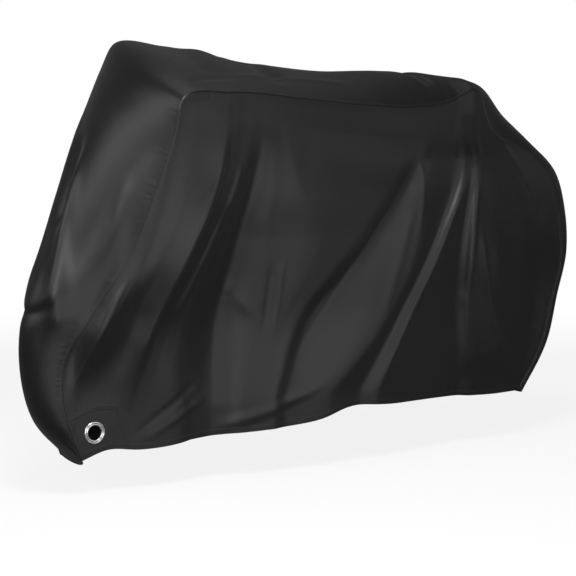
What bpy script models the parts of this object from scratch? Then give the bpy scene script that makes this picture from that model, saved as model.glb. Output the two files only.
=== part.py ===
"""A cover for one parked bicycle, in the shape in which it hangs.

The cloth is sewn from a near side panel, a far side panel and one long gusset that runs up the
front, along the top and down the rear. Handlebar, saddle and both wheels hold the cloth out, and
it hangs open at the hem. The bicycle leans a little to its near side, so the far end of the
handlebar stands higher than the near end. Each side panel has a sewn-in front corner, and in it
a metal eyelet of two turned pieces, for a lock that passes the front wheel.

+X points to the rear wheel, +Y to the far side and +Z up. Heights in the tables are above the
ground, and the origin is the point under the top where the bicycle holds the cover up.
"""

from collections import namedtuple
from math import pi

import bmesh
import bpy
import numpy as np

# --- driving dimensions, in metres ------------------------------------------------------------

MOUNT_HEIGHT = 1.060          # height of the point that holds the cover up, just under the top
CLOTH_THICKNESS = 0.0015
SEAM_INSET = 0.0003           # how far each cut edge stays back from its seam line
GUSSET_CELLS = 8              # cells across the gusset, seam to seam
SIDE_BELLY = 0.020            # how far pedals and frame push each side out, at its middle

EYELET_X = -0.723             # centre of both eyelets
EYELET_HEIGHT = 0.157
CORNER_Y = 0.060              # outer face of the flat corners that hold the eyelets
CORNER_COLUMNS = 4            # cells of a side panel that its front corner takes up
CORNER_ROWS = 3
CORNER_FLAT = 0.050           # the cloth is flat this far round an eyelet
CORNER_FADE = 0.260           # and takes its own shape again from here on

HOLE_RADIUS = 0.0200          # hole cut in the cloth
BORE_RADIUS = 0.0180          # clear bore of the eyelet
BARREL_RADIUS = 0.0193
FLANGE_RADIUS = 0.0280
FLANGE_HEIGHT = 0.0030
LIP_RADIUS = 0.0216
LIP_THICKNESS = 0.0012
WASHER_RADIUS = 0.0270
WASHER_THICKNESS = 0.0016
METAL_GAP = 0.0003            # gap between metal and cloth, and between the two metal pieces
METAL_ROUND = 0.0012          # how far the turned edges of the flange are rounded
METAL_CHAMFER = 0.0005        # chamfer on the lip and on the washer
TURNED_STEPS = 24
TURNED_MERGE = 0.00001

FOLD_STEPS = 12               # straight steps in which the path of a fold is measured
FOLD_FADE = 0.22              # share of its length over which a fold rises and dies away
FACING_START = 0.10           # how far a surface has to face a fold's side before it takes part
FACING_SPAN = 0.45
BESIDE_START = 0.50           # how far cloth has to face sideways before an eyelet keeps it flat
BESIDE_SPAN = 0.30
HEM_STEPS = 10                # fine steps between two points of a side hem

CLOTH_COLOUR = (0.022, 0.022, 0.023, 1.0)
STEEL_COLOUR = (0.72, 0.72, 0.74, 1.0)
CLOTH_ROUGHNESS = 0.42
STEEL_ROUGHNESS = 0.22

# --- the outline ------------------------------------------------------------------------------

# One row for each station along the gusset, from the front hem over the top to the rear hem.
# It gives the seam with the near panel, the middle of the gusset and the seam with the far
# panel. cells is the number of cells since the row before, and roundness is 1 where the gusset
# is a half ellipse and 0 where it is a shallow arch.
Station = namedtuple(
    "Station", "name cells near_x near_y near_z mid_x mid_z far_x far_y far_z roundness"
)

STATIONS = [
    Station("front_hem", 0, -0.758, -0.060, 0.090, -0.744, 0.072, -0.758, 0.060, 0.090, 0.9),
    Station("front_low", 3, -0.797, -0.060, 0.195, -0.855, 0.192, -0.797, 0.060, 0.195, 1.0),
    Station("front_wheel", 4, -0.803, -0.070, 0.335, -0.890, 0.350, -0.797, 0.070, 0.345, 1.0),
    Station("wheel_top", 3, -0.750, -0.098, 0.445, -0.872, 0.480, -0.732, 0.100, 0.470, 0.9),
    Station("lamp", 4, -0.688, -0.140, 0.560, -0.820, 0.600, -0.666, 0.145, 0.610, 0.7),
    Station("stem", 3, -0.643, -0.190, 0.690, -0.763, 0.745, -0.604, 0.200, 0.770, 0.5),
    Station("brakes", 3, -0.617, -0.228, 0.805, -0.706, 0.885, -0.552, 0.240, 0.920, 0.4),
    Station("under_bar", 3, -0.602, -0.258, 0.895, -0.648, 1.000, -0.512, 0.264, 1.055, 0.3),
    Station("bar", 3, -0.594, -0.270, 0.958, -0.588, 1.078, -0.490, 0.270, 1.130, 0.2),
    Station("behind_bar", 7, -0.440, -0.250, 0.985, -0.400, 1.080, -0.350, 0.250, 1.134, 0.2),
    Station("top_front", 9, -0.215, -0.210, 0.979, -0.195, 1.070, -0.160, 0.210, 1.094, 0.2),
    Station("top_middle", 7, 0.000, -0.172, 0.971, 0.010, 1.062, 0.020, 0.172, 1.052, 0.3),
    Station("top_rear", 7, 0.200, -0.143, 0.969, 0.200, 1.073, 0.200, 0.140, 1.030, 0.3),
    Station("saddle", 9, 0.360, -0.110, 0.987, 0.380, 1.072, 0.360, 0.110, 1.025, 0.4),
    Station("saddle_tail", 6, 0.485, -0.085, 1.022, 0.550, 1.043, 0.485, 0.085, 1.032, 0.6),
    Station("rack", 3, 0.546, -0.083, 0.912, 0.652, 0.962, 0.560, 0.083, 0.948, 0.7),
    Station("rack_end", 4, 0.668, -0.078, 0.853, 0.762, 0.876, 0.665, 0.078, 0.852, 0.8),
    Station("rear_wheel", 4, 0.780, -0.072, 0.760, 0.860, 0.797, 0.780, 0.072, 0.762, 0.9),
    Station("rear_upper", 3, 0.835, -0.067, 0.650, 0.896, 0.690, 0.835, 0.067, 0.650, 1.0),
    Station("rear_back", 3, 0.850, -0.063, 0.535, 0.905, 0.565, 0.850, 0.063, 0.535, 1.0),
    Station("rear_lower", 3, 0.819, -0.060, 0.415, 0.869, 0.430, 0.819, 0.060, 0.415, 1.0),
    Station("rear_low", 3, 0.783, -0.056, 0.285, 0.834, 0.292, 0.783, 0.056, 0.285, 1.0),
    Station("rear_hem", 3, 0.696, -0.050, 0.144, 0.732, 0.132, 0.696, 0.050, 0.150, 0.9),
]

# One row for each point of the two side hems, front to rear: they start and end on the seams.
HemPoint = namedtuple("HemPoint", "near_x near_y near_z far_x far_y far_z")

HEM = [
    HemPoint(-0.758, -0.060, 0.090, -0.758, 0.060, 0.090),
    HemPoint(-0.690, -0.061, 0.110, -0.690, 0.061, 0.102),
    HemPoint(-0.600, -0.088, 0.103, -0.600, 0.085, 0.104),
    HemPoint(-0.460, -0.114, 0.113, -0.460, 0.112, 0.112),
    HemPoint(-0.260, -0.134, 0.122, -0.260, 0.135, 0.128),
    HemPoint(-0.080, -0.132, 0.137, -0.080, 0.140, 0.142),
    HemPoint(0.005, -0.128, 0.159, 0.005, 0.134, 0.150),
    HemPoint(0.190, -0.110, 0.156, 0.190, 0.116, 0.146),
    HemPoint(0.390, -0.086, 0.149, 0.390, 0.090, 0.152),
    HemPoint(0.570, -0.062, 0.142, 0.570, 0.064, 0.150),
    HemPoint(0.696, -0.050, 0.144, 0.696, 0.050, 0.150),
]

# --- the folds --------------------------------------------------------------------------------

# The two axes in which each face of the cover is drawn, and the way that it faces.
FACES = {
    "near": ((0, 2), (0.0, -1.0, 0.0)),
    "far": ((0, 2), (0.0, 1.0, 0.0)),
    "front": ((1, 2), (-1.0, 0.0, 0.0)),
    "rear": ((1, 2), (1.0, 0.0, 0.0)),
    "top": ((0, 1), (0.0, 0.0, 1.0)),
}

# One row for each main fold. It runs from start past bend to end, across and up on its face.
# wide_start and wide_end are half widths, and height is how far the crest stands out of the
# cloth, or how deep a trough is where it is negative.
Fold = namedtuple(
    "Fold",
    "name face start_across start_up bend_across bend_up end_across end_up wide_start wide_end height",
)

FOLDS = [
    Fold("brow_ridge", "front", 0.010, 0.860, -0.050, 0.620, -0.085, 0.360, 0.030, 0.034, 0.012),
    Fold("brow_trough", "front", 0.040, 0.900, 0.010, 0.780, -0.010, 0.640, 0.040, 0.040, -0.012),
    Fold("far_brow_ridge", "front", 0.120, 1.000, 0.070, 0.720, 0.040, 0.440, 0.035, 0.035, 0.007),
    Fold("wheel_crease", "front", -0.110, 0.500, -0.020, 0.452, 0.100, 0.480, 0.028, 0.028, -0.004),
    Fold("rear_ridge", "rear", -0.010, 0.980, 0.020, 0.700, 0.000, 0.380, 0.035, 0.040, 0.010),
    Fold("rear_trough", "rear", 0.045, 0.700, 0.035, 0.420, 0.030, 0.160, 0.030, 0.030, -0.010),
    Fold("top_wave", "top", -0.420, -0.120, -0.330, 0.040, -0.300, 0.220, 0.060, 0.060, 0.008),
    Fold("top_sag", "top", -0.240, -0.160, -0.200, 0.020, -0.180, 0.160, 0.060, 0.060, -0.010),
    Fold("top_crease", "top", 0.200, 0.120, 0.290, 0.020, 0.330, -0.100, 0.040, 0.040, -0.008),
    Fold("far_grip_ridge", "far", -0.420, 0.980, -0.440, 0.640, -0.560, 0.160, 0.040, 0.060, 0.022),
    Fold("far_grip_trough", "far", -0.330, 0.960, -0.340, 0.560, -0.440, 0.060, 0.060, 0.090, -0.034),
    Fold("far_frame_ridge", "far", -0.190, 0.980, -0.200, 0.600, -0.240, 0.060, 0.060, 0.090, 0.026),
    Fold("far_lamp_ridge", "far", -0.560, 0.720, -0.670, 0.480, -0.830, 0.240, 0.030, 0.045, 0.018),
    Fold("far_lamp_trough", "far", -0.510, 0.700, -0.600, 0.450, -0.720, 0.260, 0.045, 0.060, -0.024),
    Fold("far_swag_band", "far", 0.340, 0.920, 0.160, 0.520, -0.080, 0.060, 0.060, 0.110, 0.028),
    Fold("far_swag_groove", "far", 0.240, 0.960, 0.040, 0.640, -0.160, 0.240, 0.030, 0.040, -0.014),
    Fold("far_saddle_ridge", "far", 0.480, 1.040, 0.450, 0.640, 0.400, 0.120, 0.030, 0.045, 0.024),
    Fold("far_saddle_trough", "far", 0.420, 0.860, 0.340, 0.500, 0.270, 0.020, 0.040, 0.075, -0.028),
    Fold("far_tail_trough", "far", 0.520, 0.900, 0.600, 0.600, 0.660, 0.200, 0.040, 0.070, -0.022),
    Fold("far_tail_ridge", "far", 0.600, 0.880, 0.720, 0.700, 0.780, 0.380, 0.035, 0.050, 0.014),
]

# One row for each ridge or valley that runs down the near side: its X at each pleat level, and how
# far the cloth stands out there. Between two neighbouring lines the cloth runs from one to the
# other.
PLEAT_LEVELS = (0.96, 0.88, 0.80, 0.60, 0.40, 0.20)
PLEAT_ROUND = 0.6             # 0 for straight flanks between the lines and 1 for round ones
Pleat = namedtuple(
    "Pleat",
    "name x_top x_brow x_upper x_middle x_lower x_low"
    " out_top out_brow out_upper out_middle out_lower out_low",
)

PLEATS = [
    Pleat("front_edge", -0.600, -0.620, -0.640, -0.690, -0.780, -0.810,
          0.000, 0.000, 0.000, 0.000, 0.000, 0.000),
    Pleat("lamp_ridge", -0.590, -0.598, -0.605, -0.640, -0.735, -0.785,
          0.000, 0.003, 0.006, 0.020, 0.034, 0.004),
    Pleat("lamp_valley", -0.550, -0.550, -0.550, -0.590, -0.640, -0.700,
          0.001, 0.010, 0.020, 0.032, -0.002, -0.002),
    Pleat("grip_ridge", -0.460, -0.462, -0.470, -0.533, -0.592, -0.642,
          0.002, 0.012, 0.030, 0.044, 0.010, -0.004),
    Pleat("grip_foot", -0.436, -0.438, -0.447, -0.511, -0.571, -0.618,
          0.001, 0.008, 0.012, 0.026, -0.005, -0.012),
    Pleat("stem_ridge", -0.400, -0.402, -0.405, -0.470, -0.528, -0.578,
          0.000, 0.004, 0.004, 0.008, -0.016, -0.016),
    Pleat("stem_wall", -0.385, -0.388, -0.393, -0.452, -0.508, -0.560,
          0.000, 0.003, 0.002, 0.001, -0.021, -0.018),
    Pleat("stem_valley", -0.345, -0.340, -0.338, -0.350, -0.378, -0.390,
          0.000, -0.001, -0.018, -0.052, -0.078, -0.064),
    Pleat("frame_foot", -0.322, -0.320, -0.318, -0.326, -0.350, -0.360,
          0.000, -0.001, -0.013, -0.047, -0.072, -0.060),
    Pleat("frame_ridge", -0.290, -0.288, -0.280, -0.268, -0.264, -0.300,
          0.000, -0.001, -0.006, -0.031, -0.047, -0.044),
    Pleat("frame_edge", -0.270, -0.255, -0.226, -0.120, -0.195, -0.262,
          0.000, 0.001, 0.003, -0.012, -0.036, -0.036),
    Pleat("swag_top", 0.300, 0.190, 0.130, 0.000, -0.150, -0.225,
          0.000, 0.001, 0.005, -0.010, -0.032, -0.028),
    Pleat("swag_groove", 0.330, 0.245, 0.198, 0.064, -0.105, -0.188,
          0.000, 0.000, -0.001, -0.018, -0.043, -0.034),
    Pleat("band_crest", 0.345, 0.285, 0.238, 0.212, 0.128, -0.050,
          0.000, 0.002, 0.009, 0.018, 0.008, -0.014),
    Pleat("stay_foot", 0.400, 0.378, 0.362, 0.284, 0.178, 0.050,
          -0.002, -0.002, -0.001, 0.006, -0.003, -0.018),
    Pleat("stay_ridge", 0.428, 0.410, 0.395, 0.306, 0.201, 0.112,
          0.002, 0.010, 0.018, 0.022, 0.013, 0.000),
    Pleat("saddle_valley", 0.435, 0.420, 0.408, 0.400, 0.424, 0.452,
          0.004, 0.011, 0.017, 0.001, -0.022, -0.028),
    Pleat("saddle_ridge", 0.462, 0.446, 0.432, 0.426, 0.464, 0.498,
          0.010, 0.020, 0.029, 0.023, 0.001, -0.014),
    Pleat("saddle_flank", 0.480, 0.474, 0.470, 0.516, 0.556, 0.620,
          0.006, 0.015, 0.024, 0.031, 0.009, -0.004),
    Pleat("tail_valley", 0.540, 0.590, 0.640, 0.720, 0.740, 0.700,
          0.000, 0.000, 0.000, 0.000, -0.008, -0.002),
    Pleat("rear_edge", 0.600, 0.700, 0.800, 0.860, 0.830, 0.760,
          0.000, 0.000, 0.000, 0.000, 0.000, 0.000),
]


def smooth_step(share):
    """0 below 0, 1 above 1 and a soft step between them."""
    share = np.clip(share, 0.0, 1.0)
    return share * share * (3.0 - 2.0 * share)


def curve_through(points, cells):
    """A smooth curve through points, with the given number of cells between each two of them."""
    points = np.asarray(points, float)
    lengths = np.linalg.norm(np.diff(points, axis=0), axis=1)
    chords = np.diff(points, axis=0) / lengths[:, None]
    slopes = np.empty_like(points)
    slopes[0] = chords[0]
    slopes[-1] = chords[-1]
    before = lengths[:-1, None]
    after = lengths[1:, None]
    slopes[1:-1] = (chords[:-1] * after + chords[1:] * before) / (before + after)
    result = [points[0]]
    for index, count in enumerate(cells):
        for step in range(1, count + 1):
            t = step / count
            result.append(
                (2 * t**3 - 3 * t**2 + 1) * points[index]
                + (3 * t**2 - 2 * t**3) * points[index + 1]
                + (t**3 - 2 * t**2 + t) * lengths[index] * slopes[index]
                + (t**3 - t**2) * lengths[index] * slopes[index + 1]
            )
    return np.array(result)


def even_steps(curve, count):
    """The same curve with count cells of equal length."""
    reach = np.concatenate([[0.0], np.cumsum(np.linalg.norm(np.diff(curve, axis=0), axis=1))])
    marks = np.linspace(0.0, reach[-1], count + 1)
    return np.stack([np.interp(marks, reach, curve[:, axis]) for axis in range(3)], axis=1)


def flatten_corner(points, side):
    """Lays the cloth round an eyelet flat. side is -1 on the near side and 1 on the far side."""
    away = np.hypot(points[..., 0] - EYELET_X, points[..., 2] - EYELET_HEIGHT)
    flat = 1.0 - smooth_step((away - CORNER_FLAT) / (CORNER_FADE - CORNER_FLAT))
    result = points.copy()
    result[..., 1] += flat * (side * CORNER_Y - points[..., 1])
    return result


def seam_curves(scale=1):
    """The near seam, the middle line and the far seam of the gusset, front hem to rear hem."""
    cells = [row.cells * scale for row in STATIONS[1:]]
    near = curve_through([(row.near_x, row.near_y, row.near_z) for row in STATIONS], cells)
    middle = curve_through([(row.mid_x, 0.0, row.mid_z) for row in STATIONS], cells)
    far = curve_through([(row.far_x, row.far_y, row.far_z) for row in STATIONS], cells)
    return flatten_corner(near, -1.0), middle, flatten_corner(far, 1.0)


def gusset_points(near, middle, far, scale=1):
    """The gusset's grid: a row for each station point and a column for each cell across."""
    cells = [row.cells * scale for row in STATIONS[1:]]
    roundness = curve_through(
        [(index, row.roundness, 0.0) for index, row in enumerate(STATIONS)], cells
    )[:, 1]
    across = np.linspace(0.0, 1.0, GUSSET_CELLS * scale + 1)[None, :, None]
    near = near[:, None, :]
    middle = middle[:, None, :]
    far = far[:, None, :]
    round_share = np.clip(roundness, 0.0, 1.0)[:, None, None]
    rise = middle - 0.5 * (near + far)
    arch = near + (far - near) * across + 4.0 * across * (1.0 - across) * rise
    angle = pi * across
    ellipse = 0.5 * (near + far) - 0.5 * (far - near) * np.cos(angle) + rise * np.sin(angle)
    return arch + (ellipse - arch) * round_share


def side_points(seam, hem_rows, side, scale=1):
    """A side panel's grid, from the top seam down to the hem and from front to rear."""
    names = [row.name for row in STATIONS]
    front_count = sum(row.cells for row in STATIONS[: names.index("bar") + 1]) * scale
    rear_count = sum(row.cells for row in STATIONS[names.index("saddle_tail") + 1 :]) * scale
    front = seam[front_count::-1]
    rear = seam[len(seam) - rear_count - 1 :]
    top = seam[front_count : len(seam) - rear_count]
    hem = curve_through(hem_rows, [HEM_STEPS] * (len(hem_rows) - 1))
    hem = even_steps(hem, len(top) - 1)
    hem[0] = front[-1]
    hem[-1] = rear[-1]
    down = np.linspace(0.0, 1.0, len(front))[:, None, None]
    along = np.linspace(0.0, 1.0, len(top))[None, :, None]
    ruled_down = top[None] * (1.0 - down) + hem[None] * down
    ruled_along = front[:, None] * (1.0 - along) + rear[:, None] * along
    corners = (top[0] * (1.0 - along) + top[-1] * along) * (1.0 - down)
    corners = corners + (hem[0] * (1.0 - along) + hem[-1] * along) * down
    grid = ruled_down + ruled_along - corners
    grid[..., 1] += side * SIDE_BELLY * (np.sin(pi * down) * np.sin(pi * along))[..., 0]
    inner = flatten_corner(grid, side)
    inner[0] = grid[0]
    inner[:, 0] = grid[:, 0]
    inner[:, -1] = grid[:, -1]
    return inner


def grid_quads(ids, flip):
    """The quads of a grid of point numbers. flip turns them round, so that they face out."""
    quads = np.stack([ids[:-1, :-1], ids[1:, :-1], ids[1:, 1:], ids[:-1, 1:]], axis=-1)
    if flip:
        quads = quads[..., ::-1]
    return quads


def point_normals(points, quads):
    """The mean way that the quads round each point face."""
    flat = quads.reshape(-1, 4)
    first = points[flat[:, 2]] - points[flat[:, 0]]
    second = points[flat[:, 3]] - points[flat[:, 1]]
    facing = np.cross(first, second)
    normals = np.zeros_like(points)
    for corner in range(4):
        np.add.at(normals, flat[:, corner], facing)
    return normals / np.linalg.norm(normals, axis=1)[:, None]


def fold_share(places, fold):
    """How much of a fold's height each place on its face takes, from 0 to 1."""
    start = np.array([fold.start_across, fold.start_up])
    bend = np.array([fold.bend_across, fold.bend_up])
    end = np.array([fold.end_across, fold.end_up])
    control = 2.0 * bend - 0.5 * (start + end)
    shares = np.linspace(0.0, 1.0, FOLD_STEPS + 1)[:, None]
    path = (1 - shares) ** 2 * start + 2 * shares * (1 - shares) * control + shares**2 * end
    nearest = np.full(len(places), np.inf)
    along = np.zeros(len(places))
    for step in range(FOLD_STEPS):
        run = path[step + 1] - path[step]
        part = np.clip((places - path[step]) @ run / (run @ run), 0.0, 1.0)
        gap = np.linalg.norm(places - path[step] - part[:, None] * run, axis=1)
        closer = gap < nearest
        nearest = np.where(closer, gap, nearest)
        along = np.where(closer, (step + part) / FOLD_STEPS, along)
    width = fold.wide_start + (fold.wide_end - fold.wide_start) * along
    rise = smooth_step(along / FOLD_FADE) * smooth_step((1.0 - along) / FOLD_FADE)
    return rise * (1.0 - smooth_step(nearest / width))


def pleat_lift(points):
    """How far the pleats move each point of the near side out."""
    levels = len(PLEAT_LEVELS)
    lines = []
    for pleat in PLEATS:
        marks = zip(PLEAT_LEVELS, pleat[1 : levels + 1], pleat[levels + 1 :])
        line = curve_through(list(marks)[::-1], [FOLD_STEPS] * (levels - 1))
        lines.append([np.interp(points[:, 2], line[:, 0], line[:, axis]) for axis in (1, 2)])
    lift = np.zeros(len(points))
    for (place, rise), (next_place, next_rise) in zip(lines[:-1], lines[1:]):
        share = (points[:, 0] - place) / (next_place - place)
        eased = share + PLEAT_ROUND * (smooth_step(share) - share)
        between = (share >= 0.0) & (share < 1.0)
        lift = np.where(between, rise + (next_rise - rise) * eased, lift)
    return lift


def add_folds(points, normals):
    """The points with every fold raised or sunk along the way that the cloth faces."""
    near_facing = normals @ np.array(FACES["near"][1])
    lift = pleat_lift(points) * smooth_step((near_facing - FACING_START) / FACING_SPAN)
    for fold in FOLDS:
        axes, facing = FACES[fold.face]
        takes_part = smooth_step((normals @ np.array(facing) - FACING_START) / FACING_SPAN)
        lift += fold.height * takes_part * fold_share(points[:, axes], fold)
    away = np.hypot(points[:, 0] - EYELET_X, points[:, 2] - EYELET_HEIGHT)
    beside = smooth_step((np.abs(normals[:, 1]) - BESIDE_START) / BESIDE_SPAN)
    flat = 1.0 - smooth_step((away - CORNER_FLAT) / (CORNER_FADE - CORNER_FLAT))
    lift *= 1.0 - flat * beside
    return points + lift[:, None] * normals


def joined_cover(scale=1):
    """The whole cover as one surface: its points, their normals and the quads of each piece."""
    near_seam, middle, far_seam = seam_curves(scale)
    gusset = gusset_points(near_seam, middle, far_seam, scale)
    near = side_points(near_seam, [row[:3] for row in HEM], -1.0, scale)
    far = side_points(far_seam, [row[3:] for row in HEM], 1.0, scale)
    gusset_ids = np.arange(gusset.shape[0] * gusset.shape[1]).reshape(gusset.shape[:2])
    points = [gusset.reshape(-1, 3)]
    count = gusset_ids.size
    side_ids = []
    for grid, seam_ids in ((near, gusset_ids[:, 0]), (far, gusset_ids[:, -1])):
        ids = np.empty(grid.shape[:2], int)
        drop = grid.shape[0]
        ids[:, 0] = seam_ids[drop - 1 :: -1]
        ids[:, -1] = seam_ids[len(seam_ids) - drop :]
        ids[0] = seam_ids[drop - 1 : len(seam_ids) - drop + 1]
        inside = grid[1:, 1:-1]
        ids[1:, 1:-1] = count + np.arange(inside[..., 0].size).reshape(inside.shape[:2])
        count += inside[..., 0].size
        points.append(inside.reshape(-1, 3))
        side_ids.append(ids)
    points = np.concatenate(points)
    near_quads = grid_quads(side_ids[0], flip=False)
    far_quads = grid_quads(side_ids[1], flip=True)
    gusset_quads = grid_quads(gusset_ids, flip=False)
    rows = CORNER_ROWS * scale
    columns = CORNER_COLUMNS * scale
    pieces = {"gusset": gusset_quads.reshape(-1, 4)}
    for side, quads in (("near", near_quads), ("far", far_quads)):
        corner = np.zeros(quads.shape[:2], bool)
        corner[-rows:, :columns] = True
        pieces[side + "_panel"] = quads[~corner]
        pieces[side + "_corner"] = quads[corner]
    every_quad = np.concatenate(list(pieces.values()))
    points = add_folds(points, point_normals(points, every_quad))
    return points, point_normals(points, every_quad), pieces


def set_back(points, quads):
    """The points with the piece's own edges moved in from the seam lines."""
    centres = points[quads].mean(axis=1)
    pull = np.zeros_like(points)
    shared = np.zeros(len(points), int)
    for corner in range(4):
        toward = centres - points[quads[:, corner]]
        toward /= np.linalg.norm(toward, axis=1)[:, None]
        np.add.at(pull, quads[:, corner], toward)
        np.add.at(shared, quads[:, corner], 1)
    pull /= np.maximum(np.linalg.norm(pull, axis=1), 1e-9)[:, None]
    inset = np.where(shared == 2, SEAM_INSET, SEAM_INSET * 2**0.5)
    edge = edge_points(quads)
    moved = points.copy()
    moved[edge] += pull[edge] * inset[edge][:, None]
    return moved


def edge_loops(quads):
    """The directed edges that only one quad of the piece uses."""
    ends = np.concatenate([quads[:, [corner, (corner + 1) % 4]] for corner in range(4)])
    used = {tuple(pair) for pair in ends.tolist()}
    return [pair for pair in used if (pair[1], pair[0]) not in used]


def edge_points(quads):
    """The point numbers along the edges of a piece."""
    return sorted({number for pair in edge_loops(quads) for number in pair})


def cloth_piece(name, points, normals, quads, material, collection):
    """One cut piece of cloth as a closed sheet, with edges mitred to meet those of its neighbours.

    The outer and the inner face take the same diagonals, so the sheet is evenly thick.
    """
    outer = set_back(points, quads)
    inner = outer - normals * CLOTH_THICKNESS
    numbers = np.unique(quads)
    shape = bmesh.new()
    outside = {number: shape.verts.new(outer[number]) for number in numbers}
    inside = {number: shape.verts.new(inner[number]) for number in numbers}
    for quad in quads:
        spans = [np.linalg.norm(outer[quad[turn]] - outer[quad[turn + 2]]) for turn in (0, 1)]
        turn = int(spans[1] < spans[0])
        for picks in ((0, 1, 2), (0, 2, 3)):
            corners = [quad[(pick + turn) % 4] for pick in picks]
            shape.faces.new([outside[number] for number in corners])
            shape.faces.new([inside[number] for number in reversed(corners)])
    for first, second in sorted(edge_loops(quads)):
        shape.faces.new([outside[second], outside[first], inside[first], inside[second]])
    mesh = bpy.data.meshes.new(name)
    shape.to_mesh(mesh)
    shape.free()
    mesh.shade_smooth()
    mesh.set_sharp_from_angle(angle=pi / 3)
    piece = bpy.data.objects.new(name, mesh)
    mesh.materials.append(material)
    collection.objects.link(piece)
    return piece


def turned_ring(name, profile, side, material, collection):
    """A closed profile of (radius, height) turned round the axis of an eyelet.

    Heights are measured outwards from the outer face of the cloth.
    """
    shape = bmesh.new()
    corners = [shape.verts.new((radius, 0.0, height)) for radius, height in profile]
    for index, corner in enumerate(corners):
        shape.edges.new((corner, corners[(index + 1) % len(corners)]))
    mesh = bpy.data.meshes.new(name)
    shape.to_mesh(mesh)
    shape.free()
    ring = bpy.data.objects.new(name, mesh)
    collection.objects.link(ring)
    turn = ring.modifiers.new("Turn", "SCREW")
    turn.steps = TURNED_STEPS
    turn.render_steps = TURNED_STEPS
    turn.use_merge_vertices = True
    turn.merge_threshold = TURNED_MERGE
    ring.rotation_euler = (-side * pi / 2, 0.0, 0.0)
    ring.location = (EYELET_X, side * CORNER_Y, EYELET_HEIGHT)
    mesh.materials.append(material)
    return ring


def grommet_profile():
    """The outer eyelet piece: a domed flange, a barrel through the cloth and a lip turned out."""
    under = METAL_GAP
    back = -(CLOTH_THICKNESS + METAL_GAP + WASHER_THICKNESS + METAL_GAP)
    crest = 0.5 * (BORE_RADIUS + FLANGE_RADIUS)
    return [
        (BORE_RADIUS, 0.2 * FLANGE_HEIGHT),
        (BORE_RADIUS + METAL_ROUND, 0.75 * FLANGE_HEIGHT),
        (crest - METAL_ROUND, FLANGE_HEIGHT),
        (crest + METAL_ROUND, 0.93 * FLANGE_HEIGHT),
        (FLANGE_RADIUS - METAL_ROUND, 0.6 * FLANGE_HEIGHT),
        (FLANGE_RADIUS, under),
        (BARREL_RADIUS, under),
        (BARREL_RADIUS, back),
        (LIP_RADIUS, back),
        (LIP_RADIUS - METAL_CHAMFER, back - LIP_THICKNESS),
        (BARREL_RADIUS, back - 1.2 * LIP_THICKNESS),
        (BORE_RADIUS, back - 0.5 * LIP_THICKNESS),
    ]


def washer_profile():
    """The inner eyelet piece: a flat ring that the lip of the outer piece holds."""
    front = -(CLOTH_THICKNESS + METAL_GAP)
    back = front - WASHER_THICKNESS
    bore = BARREL_RADIUS + METAL_GAP
    return [
        (bore, front),
        (WASHER_RADIUS, front),
        (WASHER_RADIUS, back + METAL_CHAMFER),
        (WASHER_RADIUS - METAL_CHAMFER, back),
        (bore, back),
    ]


def cut_eyelet_hole(piece, side, cutters):
    """Cuts the round hole for an eyelet through a corner piece."""
    bpy.ops.mesh.primitive_cylinder_add(
        vertices=TURNED_STEPS,
        radius=HOLE_RADIUS,
        depth=20 * CLOTH_THICKNESS,
        location=(EYELET_X, side * CORNER_Y, EYELET_HEIGHT),
        rotation=(pi / 2, 0.0, 0.0),
    )
    cutter = bpy.context.active_object
    cutter.name = piece.name + "_hole"
    cutter.hide_render = True
    cutter.display_type = "WIRE"
    for collection in list(cutter.users_collection):
        collection.objects.unlink(cutter)
    cutters.objects.link(cutter)
    cut = piece.modifiers.new("Hole", "BOOLEAN")
    cut.operation = "DIFFERENCE"
    cut.solver = "EXACT"
    cut.object = cutter
    return cutter


def finish(name, colour, roughness, metallic):
    """A plain Principled material."""
    material = bpy.data.materials.new(name)
    material.use_nodes = True
    shader = material.node_tree.nodes["Principled BSDF"]
    shader.inputs["Base Color"].default_value = colour
    shader.inputs["Roughness"].default_value = roughness
    shader.inputs["Metallic"].default_value = metallic
    material.diffuse_color = colour
    return material


def main():
    """Clears the scene and builds the cover, with its origin at the point that holds it up."""
    for item in list(bpy.data.objects):
        bpy.data.objects.remove(item, do_unlink=True)
    parts = bpy.data.collections.new("bicycle_cover")
    cutters = bpy.data.collections.new("cutters")
    for collection in (parts, cutters):
        bpy.context.scene.collection.children.link(collection)
    ground = bpy.data.objects.new("ground", None)
    ground.location = (0.0, 0.0, -MOUNT_HEIGHT)
    parts.objects.link(ground)

    cloth = finish("coated_cloth", CLOTH_COLOUR, CLOTH_ROUGHNESS, 0.0)
    steel = finish("plated_steel", STEEL_COLOUR, STEEL_ROUGHNESS, 1.0)
    points, normals, pieces = joined_cover()
    made = []
    for name, quads in pieces.items():
        made.append(cloth_piece(name, points, normals, quads, cloth, parts))
    sides = {"near": -1.0, "far": 1.0}
    for name, side in sides.items():
        corner = bpy.data.objects[name + "_corner"]
        made.append(cut_eyelet_hole(corner, side, cutters))
        grommet = turned_ring(name + "_grommet", grommet_profile(), side, steel, parts)
        washer = turned_ring(name + "_washer", washer_profile(), side, steel, parts)
        made += [grommet, washer]
    for item in made:
        item.parent = ground


main()
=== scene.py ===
"""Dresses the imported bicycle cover: black coated cloth in deep folds, sewn seams, a stitched hem
and bright steel eyelets, over a pale studio floor.

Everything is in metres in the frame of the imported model, whose origin is the point under the top
that holds the cover up. +X points to the rear wheel, +Y to the far side and +Z up. Heights in the
tables are above the ground.
"""

from __future__ import annotations

import logging
import math
from collections.abc import Sequence
from dataclasses import dataclass, field
from enum import Enum
from typing import NamedTuple

import bpy
import numpy as np
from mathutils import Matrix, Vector
from mathutils.bvhtree import BVHTree
from mathutils.kdtree import KDTree

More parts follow.
